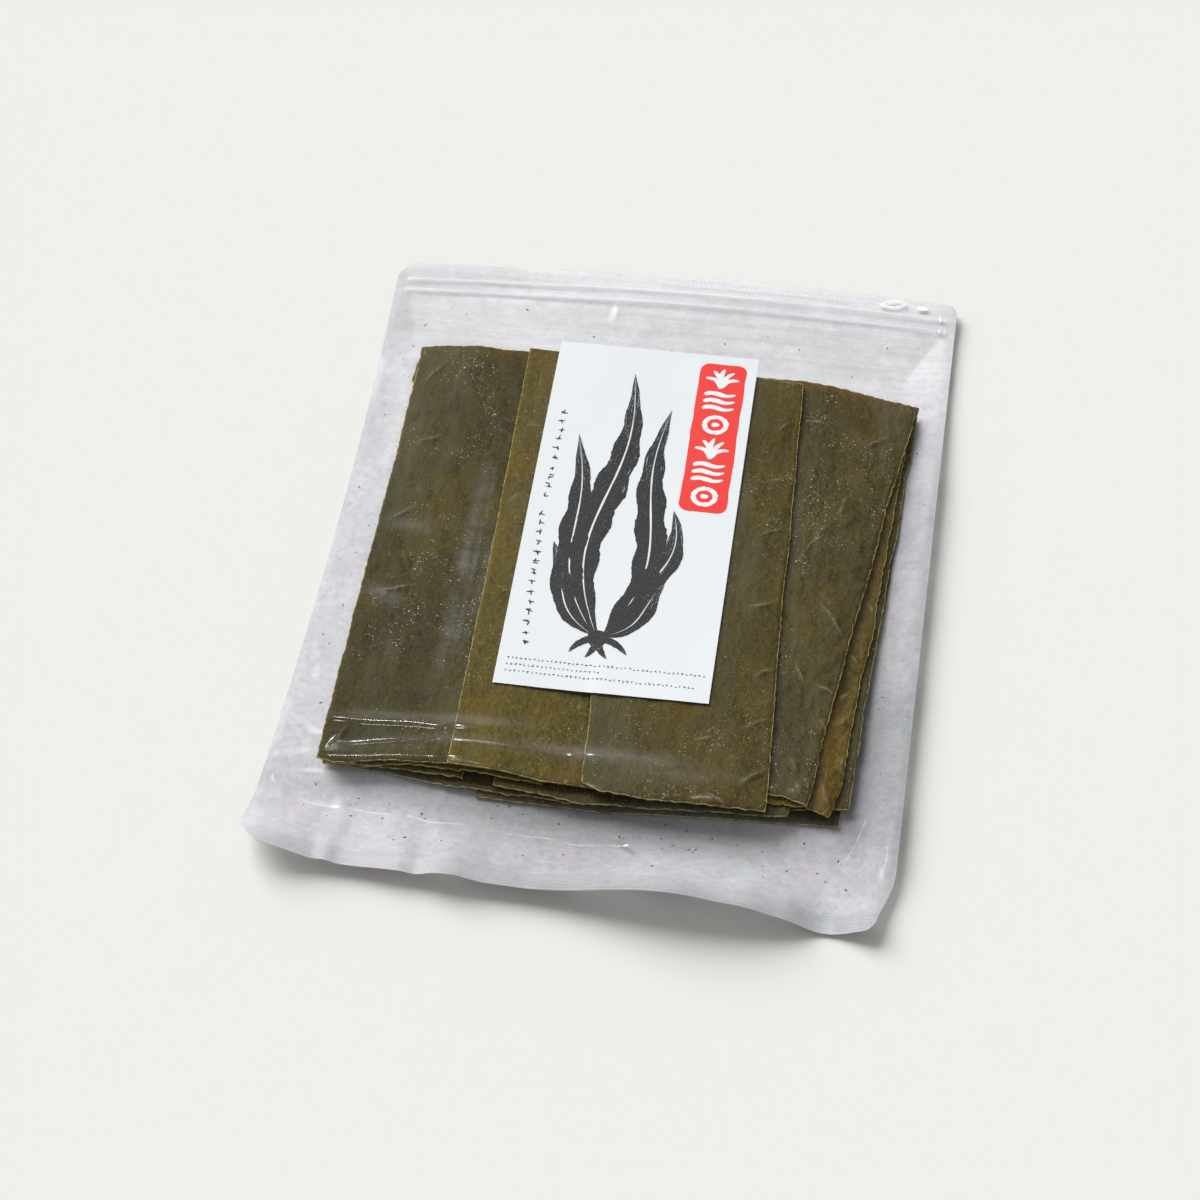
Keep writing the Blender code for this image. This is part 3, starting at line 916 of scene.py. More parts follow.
def front_film(x, y):
    """The map, with creases, slack in the borders and a wavy hem."""
    slack = 1.0 - smooth((read_map(film_map, x, y) - back_film(x, y) - 0.004) / 0.004)
    sag = 0.00035 * (1 + waves(x, y, 0.040, 301)) + 0.00012 * (1 + waves(x, y, 0.011, 303))
    drawn = 0.00012 * (1 + waves(x, 2.6 * y, 0.055, 305)) * (1 - pressed_at(x, y))
    return read_map(film_map, x, y) + slack * sag + drawn + ridges(x, y, FILM_CREASES)


def pressed_at(x, y):
    """1 under the label, fading out just round it."""
    return read_map(pressed, x, y)


# %% [markdown]
# The grid follows the pouch: fine rows in the hem weld, in the zip and where the film creases,
# wider ones elsewhere. The weld is a band of fine parallel grooves pressed by the heated bar.
# The film carries `frost`, how milky it is: nearly none where it lies on the kelp and more in
# the borders, where dust from the sheets clings to the plastic. A shade value is painted shade: it
# darkens the film towards the hem, where the lifted film lies over shaded table, down the right
# border, in the stack's shadow, and most just in front of and beside the stack, and it makes the
# back left corner a little darker. `taut` marks the creases, which shine, and a further value the
# pale hazy bands beside them, which are painted sheen in place of the film's soft reflections.

# %% The pouch's shell
WELD_DEPTH = 0.0105
WELD_PITCH = 0.00115
SIDE_WELD = 0.0030
ZIP_RIBS = (0.0115, 0.0185)
SKIN = 0.00004  # how far the film stands clear of the surface it follows
WELDED = 0.00022  # both films, where they are fused
OPEN = 0.0004  # both films and the least air between them elsewhere
# Painted sheen: pale hazy bands beside the creases, in place of the film's soft reflections.
PAINTED_SHEEN_BANDS = (  # soft hazy bands beside the creases: start x y, end x y, strength, half width
    (-0.1150, -0.1050, -0.0100, -0.1010, 0.9, 0.0026), (-0.0900, -0.1118, 0.0600, -0.1124, 1.0, 0.0034),
    (-0.1080, -0.1200, -0.0560, -0.1170, 0.7, 0.0028), (0.0100, -0.1190, 0.0700, -0.1180, 0.5, 0.0050),
    (-0.0655, 0.0600, -0.0660, -0.1000, 1.0, 0.0026),
    (-0.0605, 0.0500, -0.0610, -0.0900, 0.7, 0.0013), (-0.1080, 0.0060, -0.0800, -0.0010, 0.6, 0.0045),
    (-0.1080, -0.0360, -0.0860, -0.0430, 0.8, 0.0040), (-0.0560, 0.0200, -0.0570, -0.0700, 0.5, 0.0020),
)

half_x, half_y = POUCH_WIDTH / 2, POUCH_LENGTH / 2


def zoned(ends, steps):
    """Places along a side whose spacing changes from zone to zone."""
    zones = [even_steps(a, b, step) for a, b, step in zip(ends, ends[1:], steps)]
    return np.unique(np.concatenate(zones))


film_columns = zoned((-half_x, -0.100, 0.100, half_x), (0.0012, 0.0019, 0.0012))
film_rows = zoned((-half_y, -half_y + 0.012, -0.133, -0.101, 0.104, 0.158, half_y),
                  (0.00038, 0.0015, 0.0006, 0.0021, 0.0015, 0.0006))
flat_x, flat_y = np.meshgrid(film_columns, film_rows)
film_x, film_y = outline(*round_corners(flat_x, flat_y))

from_hem = flat_y + half_y
from_side = half_x - np.abs(flat_x)
from_back = half_y - flat_y
weld = smooth((WELD_DEPTH - from_hem) / 0.0025)
side_weld = smooth((SIDE_WELD - from_side) / 0.0012)
grooves = 0.00007 * np.sin(math.tau * from_hem / WELD_PITCH) * weld
low = back_film(film_x, film_y) + SKIN
open_height = np.maximum(front_film(film_x, film_y), low + OPEN)
closed = np.maximum(np.maximum(weld, side_weld), smooth((0.0012 - from_back) / 0.001))
high = low + WELDED + grooves + (open_height - low - WELDED) * (1.0 - closed)
low = low + grooves * 0.5 + SKIN

has_kelp = (stack > BARE + 0.0002).astype(float)
kelp_area = soften(spread(has_kelp, 0.003), 0.0025)
frost = 1.0 - smooth(read_map(kelp_area, film_x, film_y))
taut = np.clip(ridges(film_x, film_y, FILM_CREASES) / 0.00020, 0, 1)
# The painted sheen bands, as a value at each point.
veil = np.clip(ridges(film_x, film_y, PAINTED_SHEEN_BANDS), 0, 1)
# Painted shade: darker towards the hem, where the lifted film lies over shaded table, and down the right
# border, in the stack's shadow; the back left corner is made a little darker too.
painted_front_shade = smooth((-0.118 - film_y) / 0.020) * (0.42 + 0.70 * bump((film_x - 0.010) / 0.115))
painted_right_shade = smooth((film_x - 0.100) / 0.015) * (0.83 - 0.62 * smooth((film_y - 0.03) / 0.09))
painted_right_shade = painted_right_shade * (1.0 + 0.5 * smooth((-0.03 - film_y) / 0.04) * smooth((film_y + 0.150) / 0.02))
back_left_darker = 0.33 * smooth((film_y - 0.10) / 0.03) * smooth((-0.05 - film_x) / 0.04)
dusty_and_shaded = np.maximum(np.maximum(painted_front_shade, painted_right_shade), back_left_darker)
# Painted shadow of the stack: its outline, blurred and read a little back and left of each point, darkens
# the film just in front of it and to its right.
shaded = soften(spread(has_kelp, 0.005), 0.010)
stack_shadow_reach = read_map(shaded, film_x - 0.003, film_y + 0.005)
painted_stack_shadow = np.maximum(painted_front_shade, painted_right_shade) * stack_shadow_reach
shell = slab(
    np.stack([film_x, film_y, high], -1), np.stack([film_x, film_y, low], -1),
    frost=frost, taut=taut, weld=np.maximum(weld, 0.6 * side_weld), veil=veil,
    clean=1.02 - 0.30 * dusty_and_shaded - 0.32 * painted_stack_shadow, hem=1000 * from_hem, zip_end=smooth((film_y - 0.105) / 0.030))
front_faces = (film_x.shape[0] - 1) * (film_x.shape[1] - 1)
film_slots = np.zeros(len(shell[1]), int)
film_slots[front_faces:2 * front_faces] = 1

# %% [markdown]
# Clear film isn't glass with a thickness here: it is a skin with a little gloss. The finish mixes
# three things: a transparent skin, a milky diffuse haze, and a sharp gloss whose share grows at
# grazing angles, which the Fresnel node gives. The gloss is full only on the taut creases and
# slight elsewhere, as soft slack film scatters its glints. The back film is milkier, because it
# carries the dust of the sheets, in clouds and fine grey specks. The haze grows in pale bands
# beside the creases, which are painted sheen, and the milky colour is darkened by painted shade
# towards the hem, down the right border and next to the stack.

# %% Film finishes


CLEAR_SKIN = (0.99, 0.99, 0.992)
DARK_SPECK = (0.22, 0.21, 0.22)


def film_finish(name, clear_haze, border_haze, milk, tints, dust, gloss, roughness):
    """Clear skin, milky haze by the frost value, and gloss by Fresnel."""
    n = Nodes(name)
    clouds = n.band(n.noise(30.0, 5.0, 0.62), 0.32, 0.68, 0.90, 1.06)
    mottle = n.band(n.noise(210.0, 4.0, 0.68), 0.30, 0.72, 0.92, 1.06)
    haze = n.make("ShaderNodeMapRange", {
        "Value": n.attribute("frost"), "To Min": clear_haze, "To Max": border_haze}).outputs["Result"]
    haze = n.times(haze, clouds, mottle)
    haze = n.math("ADD", haze, n.times(n.attribute("weld"), 0.16))
    # Painted sheen: the haze grows in pale, broken bands beside the creases.
    wisps = n.band(n.noise(60.0, 4.0, 0.65, stretch=(0.35, 1.6, 1.0)), 0.36, 0.64, 0.25, 1.0)
    haze = n.math("ADD", haze, n.times(n.attribute("veil"), wisps, 0.11))

    # The milky part's colour: two tints in patches, then smudges, grime and fine specks of dust.
    colour = n.mix(n.band(n.noise(24.0, 3.0, 0.6, offset=(3.0, 1.0, 0.0)), 0.36, 0.66), milk, tints[0])
    colour = n.mix(n.band(n.noise(48.0, 4.0, 0.6, offset=(7.0, 2.0, 0.0)), 0.45, 0.72), colour, tints[1])
    smudge = n.band(n.noise(85.0, 5.0, 0.68, offset=(2.0, 4.0, 0.0)), 0.44, 0.62)
    colour = n.tint(colour, smudge, 0.45 * dust, scaled(milk, 0.76))
    grime = n.band(n.noise(260.0, 5.0, 0.75), 0.46, 0.72)
    colour = n.tint(colour, grime, 0.68 * dust, scaled(milk, 0.66))
    bright = n.band(n.noise(340.0, 4.0, 0.7, offset=(5.0, 0.0, 0.0)), 0.50, 0.72)
    colour = n.tint(colour, bright, 0.6 * dust, scaled(milk, 1.16))
    colour = n.dots(colour, 420.0, 0.18, 0.14, 0.8 * dust, (0.0, 0.0, 0.0), DARK_SPECK)

    # Streaks along the zip end, and the grooves of the weld as darker lines, which are painted shade in the
    # grooves.
    rails = n.band(n.noise(55.0, 4.0, 0.6, stretch=(0.10, 5.0, 1.0)), 0.30, 0.70)
    grey = milk[:1] * 3
    zip_tint = n.mix(rails, scaled(grey, 0.80), scaled(grey, 1.13))
    colour = n.tint(colour, n.attribute("zip_end"), 0.55 * dust, zip_tint)
    line = n.math("SINE", n.times(n.attribute("hem"), math.tau / (1000 * WELD_PITCH)))
    pressed_in = n.band(n.noise(26.0, 3.0, 0.6, stretch=(0.5, 2.0, 1.0)), 0.36, 0.60, 0.12, 0.85)
    line = n.times(n.band(line, -0.4, 1.0), n.attribute("weld"), pressed_in)
    colour = n.mix(line, colour, scaled(milk, 0.58))
    # Painted shade: the colour is multiplied by the mesh's shade value, darker towards the hem, down the
    # right border and beside the stack.
    colour = n.mix(1.0, colour, n.attribute("clean"), kind="MULTIPLY")

    wrinkle = n.math("ADD", n.noise(60.0, 3.0, 0.5), n.times(n.noise(420.0, 2.0, 0.5), 0.12))
    tilt = n.bump(wrinkle, 0.0003, 0.35)
    clear = n.make("ShaderNodeBsdfTransparent", {"Color": CLEAR_SKIN}).outputs[0]
    milky = n.make("ShaderNodeBsdfDiffuse", {"Color": colour}).outputs[0]
    body = n.make("ShaderNodeMixShader", {0: haze, 1: clear, 2: milky}).outputs[0]
    shine = n.make("ShaderNodeBsdfGlossy", {
        "Color": (1.0, 1.0, 1.0), "Roughness": roughness, "Normal": tilt})
    fresnel = n.make("ShaderNodeFresnel", {"IOR": 1.46, "Normal": tilt}).outputs[0]
    dulled = n.band(n.attribute("frost"), 0.0, 1.0, 0.07 * gloss, 0.10 * gloss)
    share = n.times(fresnel, n.math("MAXIMUM", dulled, n.times(n.attribute("taut"), gloss)))
    return n.finish(n.make("ShaderNodeMixShader", {0: share, 1: body, 2: shine.outputs[0]}).outputs[0])


TINTS = ((0.885, 0.87, 0.885), (0.865, 0.885, 0.89))
front_film_finish = film_finish("clear film", 0.004, 0.06, (0.90, 0.905, 0.93), TINTS, 0.10, 0.42, 0.13)
DUSTY = ((0.745, 0.706, 0.752), (0.706, 0.744, 0.758))
back_film_finish = film_finish("dusty back film", 0.90, 0.93, (0.750, 0.755, 0.800), DUSTY, 0.85, 0.4, 0.35)
pouch = put_mesh("pouch_film", shell, [front_film_finish, back_film_finish], film_slots)
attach(pouch, "root")
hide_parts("pouch")

# %% [markdown]
# ## The zip
#
# A press-to-close zip is a pair of plastic rails welded inside the films near the opening. From
# above, each shows as a rounded rib that runs from side weld to side weld, with flattened, fused
# ends. One profile, a low dome whose height is a parabola across the rib, is carried along the
# back edge twice.

# %% Zip ribs
RIB_HALF = 0.0016
RIB_HEIGHT = 0.00022
RIB_SUNK = 0.0002
RIB_ENDS = (-half_x + 0.0075, half_x - 0.004)


def film_top(x, y):
    """Height of the finished front film, for things that lie on it."""
    return np.maximum(front_film(x, y), back_film(x, y) + SKIN + OPEN)


def rib(depth, start, end):
    """A dome, 1 - s squared, across s, carried along t at one distance from the back edge."""
    s, t = np.meshgrid(np.linspace(-1, 1, 9), np.linspace(0, 1, 260))
    x = start + (end - start) * t
    narrow = smooth(np.minimum(t, 1 - t) / 0.012)
    y = back_edge_at(x) - depth - s * RIB_HALF
    base = film_top(x, back_edge_at(x) - depth)
    squashed = RIB_HEIGHT * (0.35 + 0.65 * narrow) * (1 + 0.08 * waves(x, 0 * x, 0.02, 411))
    top = np.stack([x, y, base + SKIN + squashed * (1 - s * s)], -1)
    bottom = np.stack([x, y, base - RIB_SUNK + 0 * s], -1)
    return slab(top[:, ::-1], bottom[:, ::-1])


def zip_finish():
    """Translucent polythene: slightly milky, with faint streaks and a soft shine along the rail."""
    n = Nodes("zip rails")
    streak = n.band(n.noise(90.0, 3.0, 0.6, stretch=(0.15, 6.0, 1.0)), 0.3, 0.7, 0.06, 0.24)
    clear = n.make("ShaderNodeBsdfTransparent", {"Color": (0.98, 0.98, 0.985)}).outputs[0]
    milky = n.make("ShaderNodeBsdfDiffuse", {"Color": (0.88, 0.89, 0.91)}).outputs[0]
    body = n.make("ShaderNodeMixShader", {0: streak, 1: clear, 2: milky}).outputs[0]
    shine = n.make("ShaderNodeBsdfGlossy", {"Color": (1.0, 1.0, 1.0), "Roughness": 0.42}).outputs[0]
    fresnel = n.times(n.make("ShaderNodeFresnel", {"IOR": 1.5}).outputs[0], 0.05)
    return n.finish(n.make("ShaderNodeMixShader", {0: fresnel, 1: body, 2: shine}).outputs[0])


ribs = joined([rib(depth, *RIB_ENDS) for depth in ZIP_RIBS])
zip_rails = put_mesh("zip_rails", ribs, [zip_finish()])
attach(zip_rails, "root")

# %% [markdown]
# ## The label
#
# A paper label is stuck on the front film. It follows the film's gentle waves, so its height is
# read from the same map, a tenth of a millimetre above it. It is a closed slab with a sharp edge.

# %% Label
LABEL_THICKNESS = 0.00016
LABEL_LIFT = 0.00012
LABEL_STEP = 0.0015
LABEL_GLOSS = 0.10


def label_place(a, b):
    """From the label's own width and length axes to X and Y."""
    c, s = math.cos(LABEL_TURN), math.sin(LABEL_TURN)
    return LABEL_CENTRE[0] + a * c - b * s, LABEL_CENTRE[1] + a * s + b * c


def label_height(x, y):
    """Height of the label's printed face."""
    return film_top(x, y) + LABEL_LIFT + LABEL_THICKNESS


def label_finish():
    """Satin coated paper with faint fibres."""
    n = Nodes("label paper")
    fibre = n.noise(900.0, 4.0, 0.7, stretch=(1.0, 0.3, 1.0))
    cloud = n.noise(25.0, 3.0, 0.5)
    colour = n.mix(n.band(cloud, 0.3, 0.7), (0.730, 0.766, 0.788), (0.748, 0.782, 0.802))
    shader = n.make("ShaderNodeBsdfPrincipled", {
        "Base Color": colour,
        "Roughness": n.band(cloud, 0.3, 0.7, 0.40, 0.48),
        "Specular IOR Level": LABEL_GLOSS,
        "Normal": n.bump(fibre, 0.00004, 0.4),
    })
    return n.finish(shader.outputs[0])


a, b = np.meshgrid(even_steps(-LABEL_WIDTH / 2, LABEL_WIDTH / 2, LABEL_STEP),
                   even_steps(-LABEL_LENGTH / 2, LABEL_LENGTH / 2, LABEL_STEP))
x, y = label_place(a, b)
face = label_height(x, y)
sheet = slab(np.stack([x, y, face], -1), np.stack([x, y, face - LABEL_THICKNESS], -1))
label = put_mesh("label_sheet", sheet, [label_finish()])
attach(label, "root")
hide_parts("label")

# %% [markdown]
# ## The print
#
# The label's print is drawn as thin layers of ink: a brush-painted kelp plant of six blades from
# one holdfast, a red seal with a few white shapes, and rows of small dabs where the small print
# would be. A brush stroke is a ribbon along a bowed path. It swells after the start, tapers to its
# tip, and its sides are a little ragged. The ribbon carries `dry`, which rises towards the tip, and
# `hair`, the place across the brush: the ink finish breaks up into streaks where the brush ran dry.

# %% Brush strokes
INK = 0.00006  # thickness of the ink
LAYER = 0.000004  # each layer lies this much higher, so that strokes never share a surface
SUNK = 0.00003  # how far the ink's underside reaches into the paper
INK_GLOSS = 0.16


def on_label(a, b):
    """X, Y and height of places on the label."""
    x, y = label_place(a, b)
    return x, y, label_height(x, y)


def stroke(a0, b0, a1, b1, width, bow=0.0, sway=0.0, shift=0.0, seed=1, layer=0, steps=34, across=9,
           ragged=1.0, ruffle=0.0, blunt=0.35, early=0.62, ground=on_label):
    """A ribbon on the label, in the label's own axes: a straight run, bowed and swayed sideways.

    Its half width is the sine of pi times t to the power early, so that it swells and tapers, fine
    waves roughen it, and a ruffle makes its sides wave. A shift moves it aside by a share of its width.
    """
    s, t = np.meshgrid(np.linspace(-1, 1, across), np.linspace(0, 1, steps))
    length = math.hypot(a1 - a0, b1 - b0)
    ua, ub = (a1 - a0) / length, (b1 - b0) / length
    side = bow * 4 * t * (1 - t) + sway * np.sin(math.tau * t)
    slope = (bow * 4 * (1 - 2 * t) + sway * math.tau * np.cos(math.tau * t)) / length
    swell = np.sin(math.pi * np.clip(t, 0.003, 0.997) ** early) ** blunt
    rough = 1 + ragged * (0.10 * waves(t * length, 3.0 * np.sign(s) + 0 * t, 0.0032, seed)
                          + 0.07 * waves(t * length, 5.0 * np.sign(s) + 0 * t, 0.0012, seed + 1))
    rough = rough + ruffle * np.sin(math.tau * t * length / 0.021 + seed + 1.3 * np.sign(s))
    place = (s * 0.5 + shift) * width * swell * rough
    along = t * length - slope * place
    x, y, base = ground(a0 + along * ua - (side + place) * ub, b0 + along * ub + (side + place) * ua)
    top = np.stack([x, y, base + INK + layer * LAYER], -1)
    low = np.stack([x, y, base - SUNK + 0 * s], -1)
    dry = t ** 1.6 + 0.25 * waves(t * length, s, 0.012, seed + 2)
    return slab(top[:, ::-1], low[:, ::-1], dry=dry, hair=s * width + 0.1 * seed)


def plain_slab(a, b):
    """A flat patch of ink on a grid of label places."""
    x, y, base = on_label(a, b)
    top = np.stack([x, y, base + INK], -1)
    low = np.stack([x, y, base - SUNK], -1)
    return slab(top, low, dry=0 * a, hair=0 * a)


def ink_finish(name, colour, paper, dryness):
    """Ink with a fine grain, broken into streaks of bare paper where the brush ran dry."""
    n = Nodes(name)
    grain = n.noise(1300.0, 3.0, 0.7)
    hair = n.make("ShaderNodeCombineXYZ", {
        "X": n.attribute("hair"), "Y": n.times(n.attribute("dry"), 0.006)})
    streak = n.make("ShaderNodeTexNoise", {
        "Vector": hair.outputs[0], "Scale": 1500.0, "Detail": 2.0, "Roughness": 0.6}).outputs["Fac"]
    limit = n.times(n.attribute("dry"), dryness)
    bare = n.band(n.math("ADD", streak, limit), 0.80, 0.86)
    body = n.mix(n.band(grain, 0.55, 0.75, 0.0, 0.22), colour, paper)
    shader = n.make("ShaderNodeBsdfPrincipled", {
        "Base Color": n.mix(bare, body, paper), "Roughness": n.band(grain, 0.3, 0.7, 0.42, 0.55),
        "Specular IOR Level": INK_GLOSS})
    return n.finish(shader.outputs[0])


PAPER = (0.740, 0.775, 0.796)
CHARCOAL = (0.018, 0.018, 0.020)
RED = (0.80, 0.044, 0.036)
RED_WORN = (0.95, 0.20, 0.17)
WHITE = (0.80, 0.81, 0.81)
WHITE_WORN = (0.93, 0.35, 0.32)

# %% [markdown]
# The plant: kelp grows as a few long ruffled blades from one holdfast. Each blade is painted as
# two strokes side by side, with a sliver of bare paper between them for its thick middle line.

# %% Painted kelp plant
BLADES = (  # start, end, width, bow and sway, in millimetres on the label
    (-5, -72, -9, 84, 14.5, 6.0, 6.0), (-4, -72, 10, 64, 13.0, -6.0, -5.0),
    (-6, -71, -29, 44, 12.0, 6.0, 4.0), (-3, -71, 18, 4, 11.5, -7.0, 3.0),
    (-7, -70, -31, -20, 9.5, 5.0, 2.0), (-3, -70, 19, -38, 9.0, -4.0, -1.5),
)
ROOTS = ((-6, -71, -16, -80, 3.4, -1.5), (-5, -71, -9, -82, 3.2, 1.0), (-5, -71, 0, -82, 3.2, -1.0),
         (-4, -71, 8, -79, 3.4, 1.5), (-5.5, -67, -5, -78, 8.0, 0.0))
mm = 0.001
strokes = []
for k, (a0, b0, a1, b1, width, bow, sway) in enumerate(BLADES):
    for half in (-1, 1):
        strokes.append(stroke(
            a0 * mm, b0 * mm, a1 * mm, b1 * mm, 0.46 * width * mm, bow * mm, sway * mm, shift=0.57 * half,
            seed=500 + 20 * k + half, layer=2 * k + half, steps=110, across=7, ragged=0.45, ruffle=0.11,
            blunt=0.9, early=0.92))
for k, (a0, b0, a1, b1, width, bow) in enumerate(ROOTS):
    strokes.append(stroke(a0 * mm, b0 * mm, a1 * mm, b1 * mm, width * mm, bow * mm,
                          seed=560 + k, layer=12 + k, steps=24, across=7, blunt=0.6))
ink = ink_finish("brush ink", CHARCOAL, PAPER, 0.24)
plant = put_mesh("label_plant", joined(strokes), [ink])
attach(plant, "root")

# %% [markdown]
# The red seal is a rectangle with rounded corners, wavy by a fraction of a millimetre as a
# stamped block is. The white shapes on it are strokes and rings: waves, leaves and a sun.

# %% Red seal
SEAL_CENTRE = (0.0300, 0.0500)
SEAL_HALF = (0.0104, 0.0451)
SEAL_CORNER = 0.0042
SEAL_WOBBLE = 0.00025


def patch(half_a, half_b, ca, cb, corner, across, steps, seed):
    """A rounded rectangle on a square grid: corners drawn in to arcs, sides made wavy."""
    u, v = np.meshgrid(np.linspace(-1, 1, across), np.linspace(-1, 1, steps))
    a, b = half_a * u, half_b * v
    s = np.clip((np.abs(a) - half_a + corner) / corner, 0, 1)
    t = np.clip((np.abs(b) - half_b + corner) / corner, 0, 1)
    a = a - np.sign(a) * corner * s * (1 - np.sqrt(1 - t * t / 2))
    b = b - np.sign(b) * corner * t * (1 - np.sqrt(1 - s * s / 2))
    a = a + SEAL_WOBBLE * np.abs(u) ** 4 * waves(b, 3 * np.sign(u), 0.012, seed)
    b = b + SEAL_WOBBLE * np.abs(v) ** 4 * waves(a, 3 * np.sign(v), 0.012, seed + 1)
    return plain_slab(ca + a, cb + b)


seal = patch(*SEAL_HALF, *SEAL_CENTRE, SEAL_CORNER, across=25, steps=81, seed=611)
red = ink_finish("red ink", RED, RED_WORN, 0.0)
seal_piece = put_mesh("label_seal", seal, [red])
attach(seal_piece, "root")


def ring(ca, cb, radius, width, layer):
    """A closed ring round a point, made of four bowed quarter strokes."""
    parts = []
    for k in range(4):
        p, q = math.tau * k / 4, math.tau * (k + 1) / 4
        start = (ca + radius * math.cos(p), cb + radius * math.sin(p))
        end = (ca + radius * math.cos(q), cb + radius * math.sin(q))
        parts.append(stroke(*start, *end, width, bow=-0.29 * radius, seed=620 + k, layer=layer + k,
                            steps=14, across=5, blunt=0.12))
    return parts


def wave_lines(ca, cb, layer, seed):
    """Three swaying strokes, one above the other."""
    places = [(k, cb + k * 0.0043) for k in (-1, 0, 1)]
    return [stroke(ca - 0.0070, b0 - 0.0003, ca + 0.0070, b0 + 0.0006, 0.0024, sway=0.0009,
                   seed=seed + k, layer=layer + k + 1, steps=22, across=5) for k, b0 in places]


def leaf_pair(ca, cb, layer, seed):
    """A small tuft: a stem and two blades on each side."""
    runs = ((0, -6.3, 0.6, 6.2, 2.6, 1.0), (-0.3, -5.8, -4.4, 4.6, 2.4, -1.4),
            (0.3, -5.8, 5.0, 4.2, 2.4, 1.4), (-0.3, -5.6, -7.4, -0.2, 2.2, -2.0),
            (0.3, -5.6, 7.6, -0.8, 2.2, 2.0))
    return [stroke(ca + p * mm, cb + q * mm, ca + r * mm, cb + s * mm, w * mm, bow * mm, seed=seed + k,
                   layer=layer + k, steps=16, across=5) for k, (p, q, r, s, w, bow) in enumerate(runs)]


SHAPE_COUNT = 6
SHAPE_PITCH = 0.0144
WHITE_LAYER = 20

white_parts = []
for k in range(SHAPE_COUNT):
    ca, cb = SEAL_CENTRE[0], SEAL_CENTRE[1] + (2.5 - k) * SHAPE_PITCH
    if k % 3 == 0:
        white_parts += leaf_pair(ca, cb, WHITE_LAYER, 640 + 10 * k)
    elif k % 3 == 1:
        white_parts += wave_lines(ca, cb, WHITE_LAYER, 640 + 10 * k)
    else:
        white_parts += ring(ca, cb, 0.0048, 0.0022, WHITE_LAYER)
        white_parts += [stroke(ca - 0.0016, cb, ca + 0.0018, cb + 0.0002, 0.0026,
                               seed=650 + k, layer=WHITE_LAYER + 5, steps=10, across=5)]
white = ink_finish("white ink", WHITE, WHITE_WORN, 0.12)
seal_shapes = put_mesh("label_seal_shapes", joined(white_parts), [white])
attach(seal_shapes, "root")

# %% [markdown]
# The small print becomes dabs: a column of paired dabs down the left side, and three rows of tiny
# ones at the foot. They hold no words. A seeded generator varies their length and lean.

# %% Small dabs
rng = np.random.default_rng(71)


def dabs(ca, cb, size, seed):
    """Two or three short strokes inside a square of the given size."""
    parts = []
    for k in range(rng.integers(2, 4)):
        lean = rng.uniform(-0.35, 0.35) + (math.pi / 2 if k == 1 else 0.0)
        long = size * rng.uniform(0.55, 0.95)
        ma, mb = ca + size * rng.uniform(-0.16, 0.16), cb + size * rng.uniform(-0.3, 0.3)
        da, db = 0.5 * long * math.cos(lean), 0.5 * long * math.sin(lean)
        parts.append(stroke(ma - da, mb - db, ma + da, mb + db, 0.17 * size, seed=seed + k, layer=k,
                            steps=6, across=3, ragged=0.6))
    return parts


COLUMN_COUNT = 25
COLUMN_GAP = 10  # the place in the column that stays empty
COLUMN_SIZE = 0.0037
ROWS = ((-0.0862, 46), (-0.0897, 22), (-0.0932, 44))  # place up the label, and number of dabs
ROW_PITCH = 0.00182
ROW_SIZE = 0.00135

small = []
for k, t in enumerate(np.linspace(0, 1, COLUMN_COUNT)):
    if k != COLUMN_GAP:
        a0 = float(np.interp(t, (0, 0.43, 1), (-0.0372, -0.0385, -0.0350)))
        small += dabs(a0, float(0.0565 - 0.1335 * t), COLUMN_SIZE, 700 + 3 * k)
for row, (b0, count) in enumerate(ROWS):
    for k in range(count):
        small += dabs(-0.0405 + ROW_PITCH * k, b0, ROW_SIZE, 900 + 200 * row + 3 * k)
dab_piece = put_mesh("label_dabs", joined(small), [ink])
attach(dab_piece, "root")

# %% [markdown]
# The strip above the zip carries a line of white marks, printed on the film itself. They become a
# row of white dabs, a leaf-shaped ring and a dot, in the same strokes, laid on the film's height.
# Two more short marks stand at the zip's right-hand end.

# %% White marks above the zip
MARK_LIFT = 0.00012
MARKS = (  # start, end, width, bow, seed and steps, measured from the back edge
    (0.0960, -0.0072, 0.1080, -0.0040, 0.0012, 0.0020, 1, 16),
    (0.0960, -0.0072, 0.1080, -0.0040, 0.0012, -0.0020, 2, 16),
    (0.1130, -0.0060, 0.1180, -0.0060, 0.0030, 0.0, 3, 10),
    (0.1238, -0.0095, 0.1246, -0.0130, 0.0011, 0.0, 4, 8),
    (0.1240, -0.0172, 0.1246, -0.0196, 0.0010, 0.0, 5, 8),
)


def on_film(a, b):
    """Places measured from the back edge, and the film's height there."""
    y = back_edge_at(a) + b
    return a, y, film_top(a, y) + MARK_LIFT


def dab_row(start, end, pitch, depth, size):
    """White dabs at an even pitch along the back edge."""
    parts = []
    for k, a0 in enumerate(np.arange(start, end, pitch)):
        for lean in (0.2, 1.5):
            da, db = 0.42 * size * math.cos(lean + k), 0.42 * size * math.sin(lean + k)
            parts.append(stroke(a0 - da, -depth - db, a0 + da, -depth + db, 0.24 * size, seed=1200 + k,
                                steps=5, across=3, ground=on_film))
    return parts


marks = dab_row(-0.0030, 0.0800, 0.0021, 0.0062, 0.0016)
for *run, width, bow, seed, steps in MARKS:
    marks.append(stroke(*run, width, bow=bow, seed=seed, steps=steps, across=3, ground=on_film))


